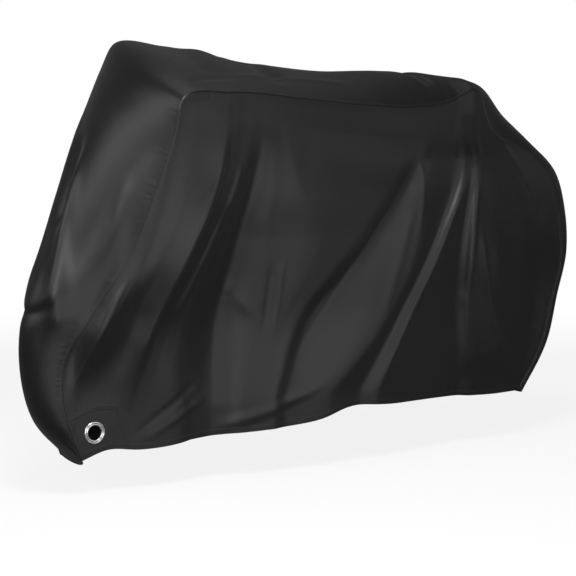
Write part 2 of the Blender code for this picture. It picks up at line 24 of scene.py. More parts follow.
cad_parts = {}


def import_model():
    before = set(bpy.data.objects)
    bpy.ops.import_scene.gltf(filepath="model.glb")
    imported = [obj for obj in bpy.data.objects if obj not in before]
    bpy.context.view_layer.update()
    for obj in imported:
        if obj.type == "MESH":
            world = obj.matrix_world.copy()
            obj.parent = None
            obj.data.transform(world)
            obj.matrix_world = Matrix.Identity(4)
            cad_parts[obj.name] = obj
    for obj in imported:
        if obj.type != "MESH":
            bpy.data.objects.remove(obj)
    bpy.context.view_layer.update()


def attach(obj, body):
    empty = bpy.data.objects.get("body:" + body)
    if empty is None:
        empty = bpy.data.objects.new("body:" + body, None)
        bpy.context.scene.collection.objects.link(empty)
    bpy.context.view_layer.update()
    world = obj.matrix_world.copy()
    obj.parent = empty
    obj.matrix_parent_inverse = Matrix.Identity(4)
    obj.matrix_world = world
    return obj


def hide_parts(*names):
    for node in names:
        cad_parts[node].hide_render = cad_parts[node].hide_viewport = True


log = logging.getLogger("bicycle_cover")

MOUNT_HEIGHT = 1.060
UV_MAP = "cloth"

Colour = tuple[float, float, float, float]
Triple = tuple[float, float, float]
Pair = tuple[float, float]
Levels = tuple[float, float, float, float, float, float]


# --- shader building --------------------------------------------------------------------------


class Socket:
    """A node's output socket, on which Python's operators add Math nodes."""

    def __init__(self, graph: Graph, out: bpy.types.NodeSocket) -> None:
        """Keeps the graph that new nodes go to and the output socket itself."""
        self.graph = graph
        self.out = out

    def _math(self, operation: str, *values: Socket | float) -> Socket:
        """The result of a Math node with an operation, whose inputs are values in order."""
        return self.graph.node(
            "ShaderNodeMath", {"operation": operation}, dict(enumerate(values))
        )

    def __add__(self, other: Socket | float) -> Socket:
        """self + other."""
        return self._math("ADD", self, other)

    __radd__ = __add__

    def __sub__(self, other: Socket | float) -> Socket:
        """self - other."""
        return self._math("SUBTRACT", self, other)

    def __rsub__(self, other: float) -> Socket:
        """other - self."""
        return self._math("SUBTRACT", other, self)

    def __mul__(self, other: Socket | float) -> Socket:
        """self * other."""
        return self._math("MULTIPLY", self, other)

    __rmul__ = __mul__

    def sine(self) -> Socket:
        """The sine of self."""
        return self._math("SINE", self)

    def step(self, start: float, stop: float) -> Socket:
        """A soft step from 0 at start to 1 at stop, which may be the lower of the two."""
        return self.graph.node(
            "ShaderNodeMapRange",
            {"interpolation_type": "SMOOTHSTEP"},
            {"Value": self, "From Min": start, "From Max": stop},
        )


class Graph:
    """A material's node tree with its Principled shader."""

    def __init__(self, name: str) -> None:
        """Makes an empty material.

        Args:
            name: its name.
        """
        self.material = bpy.data.materials.new(name)
        self.material.use_nodes = True
        self.tree = self.material.node_tree
        self.shader = self.tree.nodes["Principled BSDF"]

    def node(
        self,
        kind: str,
        settings: dict[str, object] | None = None,
        inputs: dict[str | int, object] | None = None,
        output: str | int = 0,
    ) -> Socket:
        """Adds a node.

        Args:
            kind: the node's type.
            settings: its properties, which are set before its sockets.
            inputs: values or links for its sockets, by name or number.
            output: which output to return.

        Returns:
            The chosen output.
        """
        made = self.tree.nodes.new(kind)
        for key, value in (settings or {}).items():
            setattr(made, key, value)
        self.feed(made, inputs or {})
        return Socket(self, made.outputs[output])

    def feed(self, node: bpy.types.Node, inputs: dict[str | int, object]) -> None:
        """Sets or links a node's inputs.

        Args:
            node: the node.
            inputs: values or Sockets, by the input's name or number.
        """
        for key, value in inputs.items():
            if isinstance(value, Socket):
                self.tree.links.new(value.out, node.inputs[key])
            else:
                node.inputs[key].default_value = value

    def blend_colours(self, share: Socket, first: Colour, second: Colour) -> Socket:
        """The mix of two colours, where share is how much of the second one it has."""
        return self.node(
            "ShaderNodeMix",
            {"data_type": "RGBA"},
            {"Factor": share, 6: first, 7: second},
            output=2,
        )

    def noise(self, scale: float, detail: float, vector: Socket, roughness: float = 0.5) -> Socket:
        """Noise of about 0 to 1, with scale waves in a metre and detail finer layers of them."""
        return self.node(
            "ShaderNodeTexNoise",
            {},
            {"Vector": vector, "Scale": scale, "Detail": detail, "Roughness": roughness},
        )

    def attribute(self, name: str) -> Socket:
        """The value of a number kept on the mesh's points."""
        return self.node("ShaderNodeAttribute", {"attribute_name": name}, output="Fac")

    def places(self) -> Socket:
        """The coordinates of a piece, in metres."""
        return self.node("ShaderNodeTexCoord", output="Object")

    def bump(self, height: Socket, distance: float) -> Socket:
        """The normal that a height bends, where a height of 1 is one distance in metres."""
        return self.node(
            "ShaderNodeBump", {}, {"Height": height, "Distance": distance, "Strength": 1.0}
        )

    def finish(self, **inputs: object) -> bpy.types.Material:
        """Sets the shader's inputs.

        Args:
            inputs: values or Sockets, by the input's name with _ for a space.

        Returns:
            The material.
        """
        self.feed(self.shader, {key.replace("_", " "): value for key, value in inputs.items()})
        return self.material


# --- finishes ---------------------------------------------------------------------------------


@dataclass(frozen=True)
class CoatedCloth:
    """Black nylon with a thin satin coating, as the outside of the cover shows it, painted lighter on the
    crests of its fine folds as a highlight.
    """

    colour: Colour = (0.0045, 0.0045, 0.0045, 1.0)
    # lighter colour painted on fold crests as a highlight, and in random patches
    crest_highlight_and_patch_colour: Colour = (0.0080, 0.0080, 0.0079, 1.0)
    roughness: float = 0.35
    specular: float = 0.50
    sheen: float = 0.06
    sheen_roughness: float = 0.45
    thread_pitch: float = 0.00065
    relief: float = 0.0010
    crumple_waves: float = 34.0
    grain_waves: float = 260.0
    patch_waves: float = 3.2
    pucker_waves: Triple = (85.0, 16.0, 1.0)
    hem_width: float = 0.016
    hem_edge: float = 0.0012
    seam_width: float = 0.007
    seam_edge: float = 0.0015
    seam_pucker: Pair = (0.045, 0.004)
    hem_pucker: Pair = (0.050, 0.010)
    # range of the crest-and-patch value over which the painted highlight colour comes in
    crest_highlight_and_patch_range: Pair = (0.42, 0.95)

    def build(self) -> bpy.types.Material:
        """Makes the material.

        Returns:
            The material, whose weave follows the cut of each piece.
        """
        graph = Graph("coated_cloth")
        places = graph.places()
        cut = graph.node("ShaderNodeUVMap", {"uv_map": UV_MAP})
        across = graph.node("ShaderNodeSeparateXYZ", {}, {"Vector": cut}, output="X")
        down = graph.node("ShaderNodeSeparateXYZ", {}, {"Vector": cut}, output="Y")
        turns = math.pi / self.thread_pitch
        weave = (across * turns).sine() * (down * turns).sine()
        crumple = graph.noise(self.crumple_waves, 3.0, places, 0.55)
        grain = graph.noise(self.grain_waves, 2.0, places)
        patches = graph.noise(self.patch_waves, 3.0, places)
        hem_gap, seam_gap = graph.attribute("hem"), graph.attribute("seam")
        hem = hem_gap.step(self.hem_width, self.hem_width - self.hem_edge)
        seam = seam_gap.step(self.seam_width, self.seam_width - self.seam_edge)
        pucker_places = graph.node(
            "ShaderNodeMapping", {}, {"Vector": cut, "Scale": self.pucker_waves}
        )
        puckers = graph.noise(1.0, 1.0, pucker_places)
        pulled = seam_gap.step(*self.seam_pucker) * 0.9 + hem_gap.step(*self.hem_pucker) * 0.5
        height = weave * 0.035 + grain * 0.05 + crumple * 0.35 + (hem + seam) * 0.35
        height = height + puckers * pulled
        # painted highlight: the colour turns lighter where the fine creases stand out, mixed with random
        # lighter patches
        crest = graph.attribute("crest")
        crest_highlight_and_patches = (crest * 0.5 + patches * 0.5).step(*self.crest_highlight_and_patch_range)
        colour = graph.blend_colours(crest_highlight_and_patches, self.colour, self.crest_highlight_and_patch_colour)
        sheen_change = (patches - 0.5) * 0.16 + (grain - 0.5) * 0.10
        return graph.finish(
            Base_Color=colour,
            Roughness=sheen_change + self.roughness,
            Normal=graph.bump(height, self.relief),
            Specular_IOR_Level=self.specular,
            Sheen_Weight=self.sheen,
            Sheen_Roughness=self.sheen_roughness,
        )


@dataclass(frozen=True)
class PlatedSteel:
    """Bright nickel plate on pressed steel, with faint handling marks."""

    colour: Colour = (0.72, 0.72, 0.73, 1.0)
    dull_colour: Colour = (0.50, 0.49, 0.48, 1.0)
    mark_waves: float = 420.0
    mark_depth: float = 0.00008
    stain_waves: float = 130.0
    stain_range: Pair = (0.52, 0.75)

    def build(self) -> bpy.types.Material:
        """Makes the material.

        Returns:
            The material.
        """
        graph = Graph("plated_steel")
        places = graph.places()
        marks = graph.noise(self.mark_waves, 3.0, places)
        stains = graph.noise(self.stain_waves, 2.0, places).step(*self.stain_range)
        return graph.finish(
            Base_Color=graph.blend_colours(stains * 0.6, self.colour, self.dull_colour),
            Metallic=1.0,
            Roughness=stains * 0.14 + marks * 0.08 + 0.10,
            Normal=graph.bump(marks, self.mark_depth),
        )


@dataclass(frozen=True)
class SewingThread:
    """Twisted black polyester thread."""

    colour: Colour = (0.020, 0.020, 0.021, 1.0)
    light_colour: Colour = (0.040, 0.040, 0.042, 1.0)
    twist_waves: float = 1800.0
    twist_depth: float = 0.0002

    def build(self) -> bpy.types.Material:
        """Makes the material.

        Returns:
            The material.
        """
        graph = Graph("sewing_thread")
        twist = graph.noise(self.twist_waves, 1.0, graph.places())
        return graph.finish(
            Base_Color=graph.blend_colours(twist, self.colour, self.light_colour),
            Roughness=twist * 0.2 + 0.42,
            Normal=graph.bump(twist, self.twist_depth),
        )


@dataclass(frozen=True)
class StudioFloor:
    """Plain pale floor, thin enough to let the white room through, that fades out all round."""

    colour: Colour = (0.86, 0.86, 0.86, 1.0)
    opacity: float = 0.15
    fade_from: float = 1.6
    fade_to: float = 5.0
    grain_waves: float = 60.0

    def build(self) -> bpy.types.Material:
        """Makes the material.

        Returns:
            The material.
        """
        graph = Graph("studio_floor")
        places = graph.places()
        away = graph.node("ShaderNodeVectorMath", {"operation": "LENGTH"}, {0: places}, "Value")
        grain = graph.noise(self.grain_waves, 2.0, places)
        return graph.finish(
            Base_Color=self.colour,
            Roughness=grain * 0.1 + 0.72,
            Alpha=away.step(self.fade_to, self.fade_from) * self.opacity,
            Specular_IOR_Level=0.2,
        )


# --- the shape of the cover -------------------------------------------------------------------


class Station(NamedTuple):
    """A place along the gusset, given by its two seams and its middle.

    cells is the number of coarse cells since the place before, and roundness is 1 where the
    gusset is a half ellipse and 0 where it is a shallow arch.
    """

    name: str
    cells: int
    near: Triple
    middle: Pair
    far: Triple
    roundness: float


STATIONS = (
    Station("front_hem", 0, (-0.758, -0.060, 0.090), (-0.744, 0.072), (-0.758, 0.060, 0.090), 0.9),
    Station("front_low", 3, (-0.797, -0.060, 0.195), (-0.855, 0.192), (-0.797, 0.060, 0.195), 1.0),
    Station("front_wheel", 4, (-0.803, -0.070, 0.335), (-0.890, 0.350), (-0.797, 0.070, 0.345), 1.0),
    Station("wheel_top", 3, (-0.750, -0.098, 0.445), (-0.872, 0.480), (-0.732, 0.100, 0.470), 0.9),
    Station("lamp", 4, (-0.688, -0.140, 0.560), (-0.820, 0.600), (-0.666, 0.145, 0.610), 0.7),
    Station("stem", 3, (-0.643, -0.190, 0.690), (-0.763, 0.745), (-0.604, 0.200, 0.770), 0.5),
    Station("brakes", 3, (-0.617, -0.228, 0.805), (-0.706, 0.885), (-0.552, 0.240, 0.920), 0.4),
    Station("under_bar", 3, (-0.602, -0.258, 0.895), (-0.648, 1.000), (-0.512, 0.264, 1.055), 0.3),
    Station("bar", 3, (-0.594, -0.270, 0.958), (-0.588, 1.078), (-0.490, 0.270, 1.130), 0.2),
    Station("behind_bar", 7, (-0.440, -0.250, 0.985), (-0.400, 1.080), (-0.350, 0.250, 1.134), 0.2),
    Station("top_front", 9, (-0.215, -0.210, 0.979), (-0.195, 1.070), (-0.160, 0.210, 1.094), 0.2),
    Station("top_middle", 7, (0.000, -0.172, 0.971), (0.010, 1.062), (0.020, 0.172, 1.052), 0.3),
    Station("top_rear", 7, (0.200, -0.143, 0.969), (0.200, 1.073), (0.200, 0.140, 1.030), 0.3),
    Station("saddle", 9, (0.360, -0.110, 0.987), (0.380, 1.072), (0.360, 0.110, 1.025), 0.4),
    Station("saddle_tail", 6, (0.485, -0.085, 1.022), (0.550, 1.043), (0.485, 0.085, 1.032), 0.6),
    Station("rack", 3, (0.546, -0.083, 0.912), (0.652, 0.962), (0.560, 0.083, 0.948), 0.7),
    Station("rack_end", 4, (0.668, -0.078, 0.853), (0.762, 0.876), (0.665, 0.078, 0.852), 0.8),
    Station("rear_wheel", 4, (0.780, -0.072, 0.760), (0.860, 0.797), (0.780, 0.072, 0.762), 0.9),
    Station("rear_upper", 3, (0.835, -0.067, 0.650), (0.896, 0.690), (0.835, 0.067, 0.650), 1.0),
    Station("rear_back", 3, (0.850, -0.063, 0.535), (0.905, 0.565), (0.850, 0.063, 0.535), 1.0),
    Station("rear_lower", 3, (0.819, -0.060, 0.415), (0.869, 0.430), (0.819, 0.060, 0.415), 1.0),
    Station("rear_low", 3, (0.783, -0.056, 0.285), (0.834, 0.292), (0.783, 0.056, 0.285), 1.0),
    Station("rear_hem", 3, (0.696, -0.050, 0.144), (0.732, 0.132), (0.696, 0.050, 0.150), 0.9),
)


class HemPoint(NamedTuple):
    """A point of each side hem, front to rear."""

    near: Triple
    far: Triple


HEM = (
    HemPoint((-0.758, -0.060, 0.090), (-0.758, 0.060, 0.090)),
    HemPoint((-0.690, -0.061, 0.110), (-0.690, 0.061, 0.102)),
    HemPoint((-0.600, -0.088, 0.103), (-0.600, 0.085, 0.104)),
    HemPoint((-0.460, -0.114, 0.113), (-0.460, 0.112, 0.112)),
    HemPoint((-0.260, -0.134, 0.122), (-0.260, 0.135, 0.128)),
    HemPoint((-0.080, -0.132, 0.137), (-0.080, 0.140, 0.142)),
    HemPoint((0.005, -0.128, 0.159), (0.005, 0.134, 0.150)),
    HemPoint((0.190, -0.110, 0.156), (0.190, 0.116, 0.146)),
    HemPoint((0.390, -0.086, 0.149), (0.390, 0.090, 0.152)),
    HemPoint((0.570, -0.062, 0.142), (0.570, 0.064, 0.150)),
    HemPoint((0.696, -0.050, 0.144), (0.696, 0.050, 0.150)),
)


class Face(Enum):
    """A face of the cover: the axes in which folds are drawn on it, and the way it faces."""

    NEAR = ((0, 2), (0.0, -1.0, 0.0))
    FAR = ((0, 2), (0.0, 1.0, 0.0))
    FRONT = ((1, 2), (-1.0, 0.0, 0.0))
    REAR = ((1, 2), (1.0, 0.0, 0.0))
    TOP = ((0, 1), (0.0, 0.0, 1.0))


class Fold(NamedTuple):
    """A fold that runs from start past bend to end on a face.

    wide gives its half widths at both ends. height is how far its crest stands out, or how deep
    it is where that is negative. keen is 0 for a round crest and 1 for a sharp one.
    """

    name: str
    start: Pair
    bend: Pair
    end: Pair
    wide: Pair
    height: float
    keen: float = 0.0


MAIN_FOLDS: dict[Face, tuple[Fold, ...]] = {
    Face.FRONT: (
        Fold("brow_ridge", (0.010, 0.860), (-0.050, 0.620), (-0.085, 0.360), (0.030, 0.034), 0.012),
        Fold("brow_trough", (0.040, 0.900), (0.010, 0.780), (-0.010, 0.640), (0.040, 0.040), -0.012),
        Fold("far_brow_ridge", (0.120, 1.000), (0.070, 0.720), (0.040, 0.440), (0.035, 0.035), 0.007),
        Fold("wheel_crease", (-0.110, 0.500), (-0.020, 0.452), (0.100, 0.480), (0.028, 0.028), -0.004),
    ),
    Face.REAR: (
        Fold("rear_ridge", (-0.010, 0.980), (0.020, 0.700), (0.000, 0.380), (0.035, 0.040), 0.010),
        Fold("rear_trough", (0.045, 0.700), (0.035, 0.420), (0.030, 0.160), (0.030, 0.030), -0.010),
    ),
    Face.TOP: (
        Fold("top_wave", (-0.420, -0.120), (-0.330, 0.040), (-0.300, 0.220), (0.060, 0.060), 0.008),
        Fold("top_sag", (-0.240, -0.160), (-0.200, 0.020), (-0.180, 0.160), (0.060, 0.060), -0.010),
        Fold("top_crease", (0.200, 0.120), (0.290, 0.020), (0.330, -0.100), (0.040, 0.040), -0.008),
    ),
    Face.FAR: (
        Fold("far_grip_ridge", (-0.420, 0.980), (-0.440, 0.640), (-0.560, 0.160), (0.040, 0.060), 0.022),
        Fold("far_grip_trough", (-0.330, 0.960), (-0.340, 0.560), (-0.440, 0.060), (0.060, 0.090), -0.034),
        Fold("far_frame_ridge", (-0.190, 0.980), (-0.200, 0.600), (-0.240, 0.060), (0.060, 0.090), 0.026),
        Fold("far_lamp_ridge", (-0.560, 0.720), (-0.670, 0.480), (-0.830, 0.240), (0.030, 0.045), 0.018),
        Fold("far_lamp_trough", (-0.510, 0.700), (-0.600, 0.450), (-0.720, 0.260), (0.045, 0.060), -0.024),
        Fold("far_swag_band", (0.340, 0.920), (0.160, 0.520), (-0.080, 0.060), (0.060, 0.110), 0.028),
        Fold("far_swag_groove", (0.240, 0.960), (0.040, 0.640), (-0.160, 0.240), (0.030, 0.040), -0.014),
        Fold("far_saddle_ridge", (0.480, 1.040), (0.450, 0.640), (0.400, 0.120), (0.030, 0.045), 0.024),
        Fold("far_saddle_trough", (0.420, 0.860), (0.340, 0.500), (0.270, 0.020), (0.040, 0.075), -0.028),
        Fold("far_tail_trough", (0.520, 0.900), (0.600, 0.600), (0.660, 0.200), (0.040, 0.070), -0.022),
        Fold("far_tail_ridge", (0.600, 0.880), (0.720, 0.700), (0.780, 0.380), (0.035, 0.050), 0.014),
    ),
}

CREASES: dict[Face, tuple[Fold, ...]] = {
    Face.NEAR: (
        Fold("lamp_crest", (-0.660, 0.560), (-0.732, 0.410), (-0.788, 0.240), (0.011, 0.015), 0.006, 0.8),
        Fold("grip_crest", (-0.466, 0.830), (-0.538, 0.590), (-0.626, 0.290), (0.012, 0.016), 0.004, 0.8),
        Fold("stem_rib", (-0.432, 0.700), (-0.478, 0.560), (-0.528, 0.430), (0.012, 0.016), 0.004, 0.4),
        Fold("stem_lobe", (-0.402, 0.810), (-0.408, 0.760), (-0.430, 0.690), (0.012, 0.014), 0.003, 0.3),
        Fold("frame_line", (-0.246, 0.560), (-0.243, 0.460), (-0.252, 0.350), (0.013, 0.015), -0.0025, 0.4),
        Fold("frame_rib", (-0.216, 0.580), (-0.213, 0.475), (-0.222, 0.360), (0.011, 0.013), 0.0025, 0.5),
        Fold("swag_line", (0.210, 0.850), (0.050, 0.600), (-0.185, 0.260), (0.010, 0.012), -0.0015, 0.4),
        Fold("band_streak", (0.190, 0.700), (0.155, 0.560), (0.110, 0.380), (0.026, 0.030), 0.003, 0.2),
        Fold("band_edge", (0.216, 0.840), (0.224, 0.730), (0.214, 0.620), (0.012, 0.014), 0.002, 0.4),
        Fold("stay_crest", (0.405, 0.840), (0.296, 0.575), (0.090, 0.175), (0.009, 0.012), 0.0035, 0.9),
        Fold("saddle_crest", (0.430, 0.800), (0.430, 0.560), (0.472, 0.280), (0.013, 0.018), 0.0065, 0.8),
        Fold("flank_rib", (0.452, 0.650), (0.520, 0.450), (0.660, 0.200), (0.016, 0.022), 0.003, 0.4),
        Fold("rack_line", (0.560, 0.900), (0.680, 0.775), (0.770, 0.640), (0.018, 0.020), -0.0025, 0.4),
        Fold("corner_crease", (-0.630, 0.130), (-0.530, 0.200), (-0.430, 0.270), (0.014, 0.018), -0.003, 0.4),
        Fold("corner_rib", (-0.600, 0.115), (-0.500, 0.175), (-0.400, 0.220), (0.014, 0.016), 0.0025, 0.4),
        Fold("hem_swag", (-0.050, 0.240), (-0.220, 0.180), (-0.390, 0.135), (0.022, 0.026), 0.0035, 0.2),
    ),
    Face.FRONT: (
        Fold("brow_streak", (-0.020, 0.800), (-0.070, 0.560), (-0.085, 0.400), (0.014, 0.020), 0.0045, 0.4),
        Fold("brow_patch", (0.010, 0.810), (0.000, 0.740), (-0.015, 0.660), (0.018, 0.020), -0.005, 0.2),
        Fold("brow_side", (-0.170, 0.800), (-0.150, 0.640), (-0.120, 0.430), (0.018, 0.024), 0.0035, 0.3),
        Fold("tyre_fold", (-0.090, 0.500), (-0.020, 0.455), (0.060, 0.480), (0.012, 0.012), -0.002, 0.5),
    ),
    Face.TOP: (
        Fold("grip_pleat", (-0.560, -0.240), (-0.470, -0.180), (-0.360, -0.150), (0.016, 0.020), -0.004, 0.3),
        Fold("top_line", (-0.400, -0.150), (-0.200, -0.100), (0.100, -0.090), (0.020, 0.020), 0.003, 0.3),
    ),
    Face.FAR: (
        Fold("far_crest", (0.470, 1.010), (0.440, 0.620), (0.400, 0.260), (0.014, 0.020), 0.006, 0.8),
        Fold("far_grip_edge", (-0.440, 0.900), (-0.450, 0.620), (-0.540, 0.260), (0.014, 0.020), 0.005, 0.7),
        Fold("far_valley", (-0.350, 0.880), (-0.360, 0.600), (-0.430, 0.240), (0.024, 0.034), -0.006, 0.2),
        Fold("far_swag_line", (0.240, 0.920), (0.060, 0.660), (-0.120, 0.300), (0.014, 0.020), -0.004, 0.4),
        Fold("far_stay", (0.360, 0.800), (0.270, 0.520), (0.140, 0.200), (0.014, 0.020), 0.0045, 0.7),
        Fold("far_tail", (0.560, 0.880), (0.660, 0.640), (0.720, 0.320), (0.018, 0.026), -0.0045, 0.4),
    ),
    Face.REAR: (
        Fold("rear_line", (-0.020, 0.900), (0.010, 0.640), (-0.010, 0.360), (0.014, 0.018), 0.004, 0.5),
    ),
}


class Pleat(NamedTuple):
    """A ridge or valley that runs down the near side.

    places gives its X at the six pleat levels, and rises how far the cloth stands out there.
    Between two neighbouring lines the cloth runs from one to the other.
    """

    name: str
    places: Levels
    rises: Levels


PLEAT_LEVELS: Levels = (0.96, 0.88, 0.80, 0.60, 0.40, 0.20)
LEVEL_SEAM: Levels = (0.000, 0.000, 0.000, 0.000, 0.000, 0.000)

PLEATS = (
    Pleat("front_edge", (-0.600, -0.620, -0.640, -0.690, -0.780, -0.810), LEVEL_SEAM),
    Pleat("lamp_ridge", (-0.590, -0.598, -0.605, -0.640, -0.735, -0.785),
          (0.000, 0.003, 0.006, 0.020, 0.034, 0.004)),
    Pleat("lamp_valley", (-0.550, -0.550, -0.550, -0.590, -0.640, -0.700),
          (0.001, 0.010, 0.020, 0.032, -0.002, -0.002)),
    Pleat("grip_ridge", (-0.460, -0.462, -0.470, -0.533, -0.592, -0.642),
          (0.002, 0.012, 0.030, 0.044, 0.010, -0.004)),
    Pleat("grip_foot", (-0.436, -0.438, -0.447, -0.511, -0.571, -0.618),
          (0.001, 0.008, 0.012, 0.026, -0.005, -0.012)),
    Pleat("stem_ridge", (-0.400, -0.402, -0.405, -0.470, -0.528, -0.578),
          (0.000, 0.004, 0.004, 0.008, -0.016, -0.016)),
    Pleat("stem_wall", (-0.385, -0.388, -0.393, -0.452, -0.508, -0.560),
          (0.000, 0.003, 0.002, 0.001, -0.021, -0.018)),
    Pleat("stem_valley", (-0.345, -0.340, -0.338, -0.350, -0.378, -0.390),
          (0.000, -0.001, -0.018, -0.052, -0.078, -0.064)),
    Pleat("frame_foot", (-0.322, -0.320, -0.318, -0.326, -0.350, -0.360),
          (0.000, -0.001, -0.013, -0.047, -0.072, -0.060)),
    Pleat("frame_ridge", (-0.290, -0.288, -0.280, -0.268, -0.264, -0.300),
          (0.000, -0.001, -0.006, -0.031, -0.047, -0.044)),
    Pleat("frame_edge", (-0.270, -0.255, -0.226, -0.120, -0.195, -0.262),
          (0.000, 0.001, 0.003, -0.012, -0.036, -0.036)),
    Pleat("swag_top", (0.300, 0.190, 0.130, 0.000, -0.150, -0.225),
          (0.000, 0.001, 0.005, -0.010, -0.032, -0.028)),
    Pleat("swag_groove", (0.330, 0.245, 0.198, 0.064, -0.105, -0.188),
          (0.000, 0.000, -0.001, -0.018, -0.043, -0.034)),
    Pleat("band_crest", (0.345, 0.285, 0.238, 0.212, 0.128, -0.050),
          (0.000, 0.002, 0.009, 0.018, 0.008, -0.014)),
    Pleat("stay_foot", (0.400, 0.378, 0.362, 0.284, 0.178, 0.050),
          (-0.002, -0.002, -0.001, 0.006, -0.003, -0.018)),
    Pleat("stay_ridge", (0.428, 0.410, 0.395, 0.306, 0.201, 0.112),
          (0.002, 0.010, 0.018, 0.022, 0.013, 0.000)),
    Pleat("saddle_valley", (0.435, 0.420, 0.408, 0.400, 0.424, 0.452),
          (0.004, 0.011, 0.017, 0.001, -0.022, -0.028)),
    Pleat("saddle_ridge", (0.462, 0.446, 0.432, 0.426, 0.464, 0.498),
          (0.010, 0.020, 0.029, 0.023, 0.001, -0.014)),
    Pleat("saddle_flank", (0.480, 0.474, 0.470, 0.516, 0.556, 0.620),
          (0.006, 0.015, 0.024, 0.031, 0.009, -0.004)),
    Pleat("tail_valley", (0.540, 0.590, 0.640, 0.720, 0.740, 0.700),
          (0.000, 0.000, 0.000, 0.000, -0.008, -0.002)),
    Pleat("rear_edge", (0.600, 0.700, 0.800, 0.860, 0.830, 0.760), LEVEL_SEAM),
)


def smooth_step(share: np.ndarray) -> np.ndarray:
    """0 below 0, 1 above 1 and a soft step between them."""
    share = np.clip(share, 0.0, 1.0)
    return share * share * (3.0 - 2.0 * share)


def curve_through(points: Sequence[Sequence[float]], cells: Sequence[int]) -> np.ndarray:
    """A smooth curve through points.

    Args:
        points: the points.
        cells: the number of cells between each two of them.

    Returns:
        The curve's points.
    """
    points = np.asarray(points, float)
    lengths = np.linalg.norm(np.diff(points, axis=0), axis=1)
    chords = np.diff(points, axis=0) / lengths[:, None]
    slopes = np.empty_like(points)
    slopes[0] = chords[0]
    slopes[-1] = chords[-1]
    before = lengths[:-1, None]
    after = lengths[1:, None]
    slopes[1:-1] = (chords[:-1] * after + chords[1:] * before) / (before + after)
    result = [points[:1]]
    for index, count in enumerate(cells):
        t = np.arange(1, count + 1)[:, None] / count
        result.append(
            (2 * t**3 - 3 * t**2 + 1) * points[index]
            + (3 * t**2 - 2 * t**3) * points[index + 1]
            + (t**3 - 2 * t**2 + t) * lengths[index] * slopes[index]
            + (t**3 - t**2) * lengths[index] * slopes[index + 1]
        )
    return np.concatenate(result)


def path_lengths(points: np.ndarray) -> np.ndarray:
    """How far along a line of points each of them is."""
    return np.concatenate([[0.0], np.cumsum(np.linalg.norm(np.diff(points, axis=0), axis=1))])


def along_path(points: np.ndarray, marks: np.ndarray) -> np.ndarray:
    """The places on a line of points, or values on it, at the given lengths along it."""
    reach = path_lengths(points[:, :3])
    return np.stack([np.interp(marks, reach, column) for column in points.T], axis=1)


def mesh_object(
    name: str, points: np.ndarray, faces: Sequence[np.ndarray], material: bpy.types.Material
) -> bpy.types.Object:
    """Makes a smooth object in the scene.

    Args:
        name: its name.
        points: its points.
        faces: arrays of point numbers, a face in each row.
        material: its material.

    Returns:
        The object.
    """
    mesh = bpy.data.meshes.new(name)
    rows = [row for part in faces for row in part.tolist()]
    mesh.from_pydata(points.tolist(), [], rows)
    mesh.shade_smooth()
    mesh.materials.append(material)
    made = bpy.data.objects.new(name, mesh)
    bpy.context.scene.collection.objects.link(made)
    return made


def blend(first: np.ndarray, second: np.ndarray, share: np.ndarray) -> np.ndarray:
    """first where share is 0, second where it is 1, and a mix of them between."""
    return first * (1.0 - share) + second * share


def grid_quads(ids: np.ndarray) -> np.ndarray:
    """The quads of a grid of point numbers."""
    return np.stack([ids[:-1, :-1], ids[1:, :-1], ids[1:, 1:], ids[:-1, 1:]], axis=-1)


def quad_sides(quads: np.ndarray) -> np.ndarray:
    """The four sides of each quad, as pairs of point numbers in the quad's direction."""
    return np.concatenate([quads[:, [corner, (corner + 1) % 4]] for corner in range(4)])


def unit(ways: np.ndarray) -> np.ndarray:
    """Each of some directions at length 1, or 0 where it has no length."""
    return ways / np.maximum(np.linalg.norm(ways, axis=-1), 1e-12)[..., None]


def tubes(rings: np.ndarray) -> tuple[np.ndarray, list[np.ndarray]]:
    """Closed tubes through rings of points.

    Args:
        rings: for each tube its rings, and for each ring its points.

    Returns:
        The points in one list, and the faces of the walls and of the ends.
    """
    ids = np.arange(rings[..., 0].size).reshape(rings.shape[:3])
    after = np.roll(ids, -1, axis=2)
    walls = np.stack([ids[:, :-1], ids[:, 1:], after[:, 1:], after[:, :-1]], axis=-1)
    ends = np.concatenate([ids[:, 0], ids[:, -1, ::-1]])
    return rings.reshape(-1, 3), [walls.reshape(-1, 4), ends]


def ring_turns(count: int) -> np.ndarray:
    """The angles of evenly spaced points on a ring."""
    return np.arange(count) * 2.0 * math.pi / count


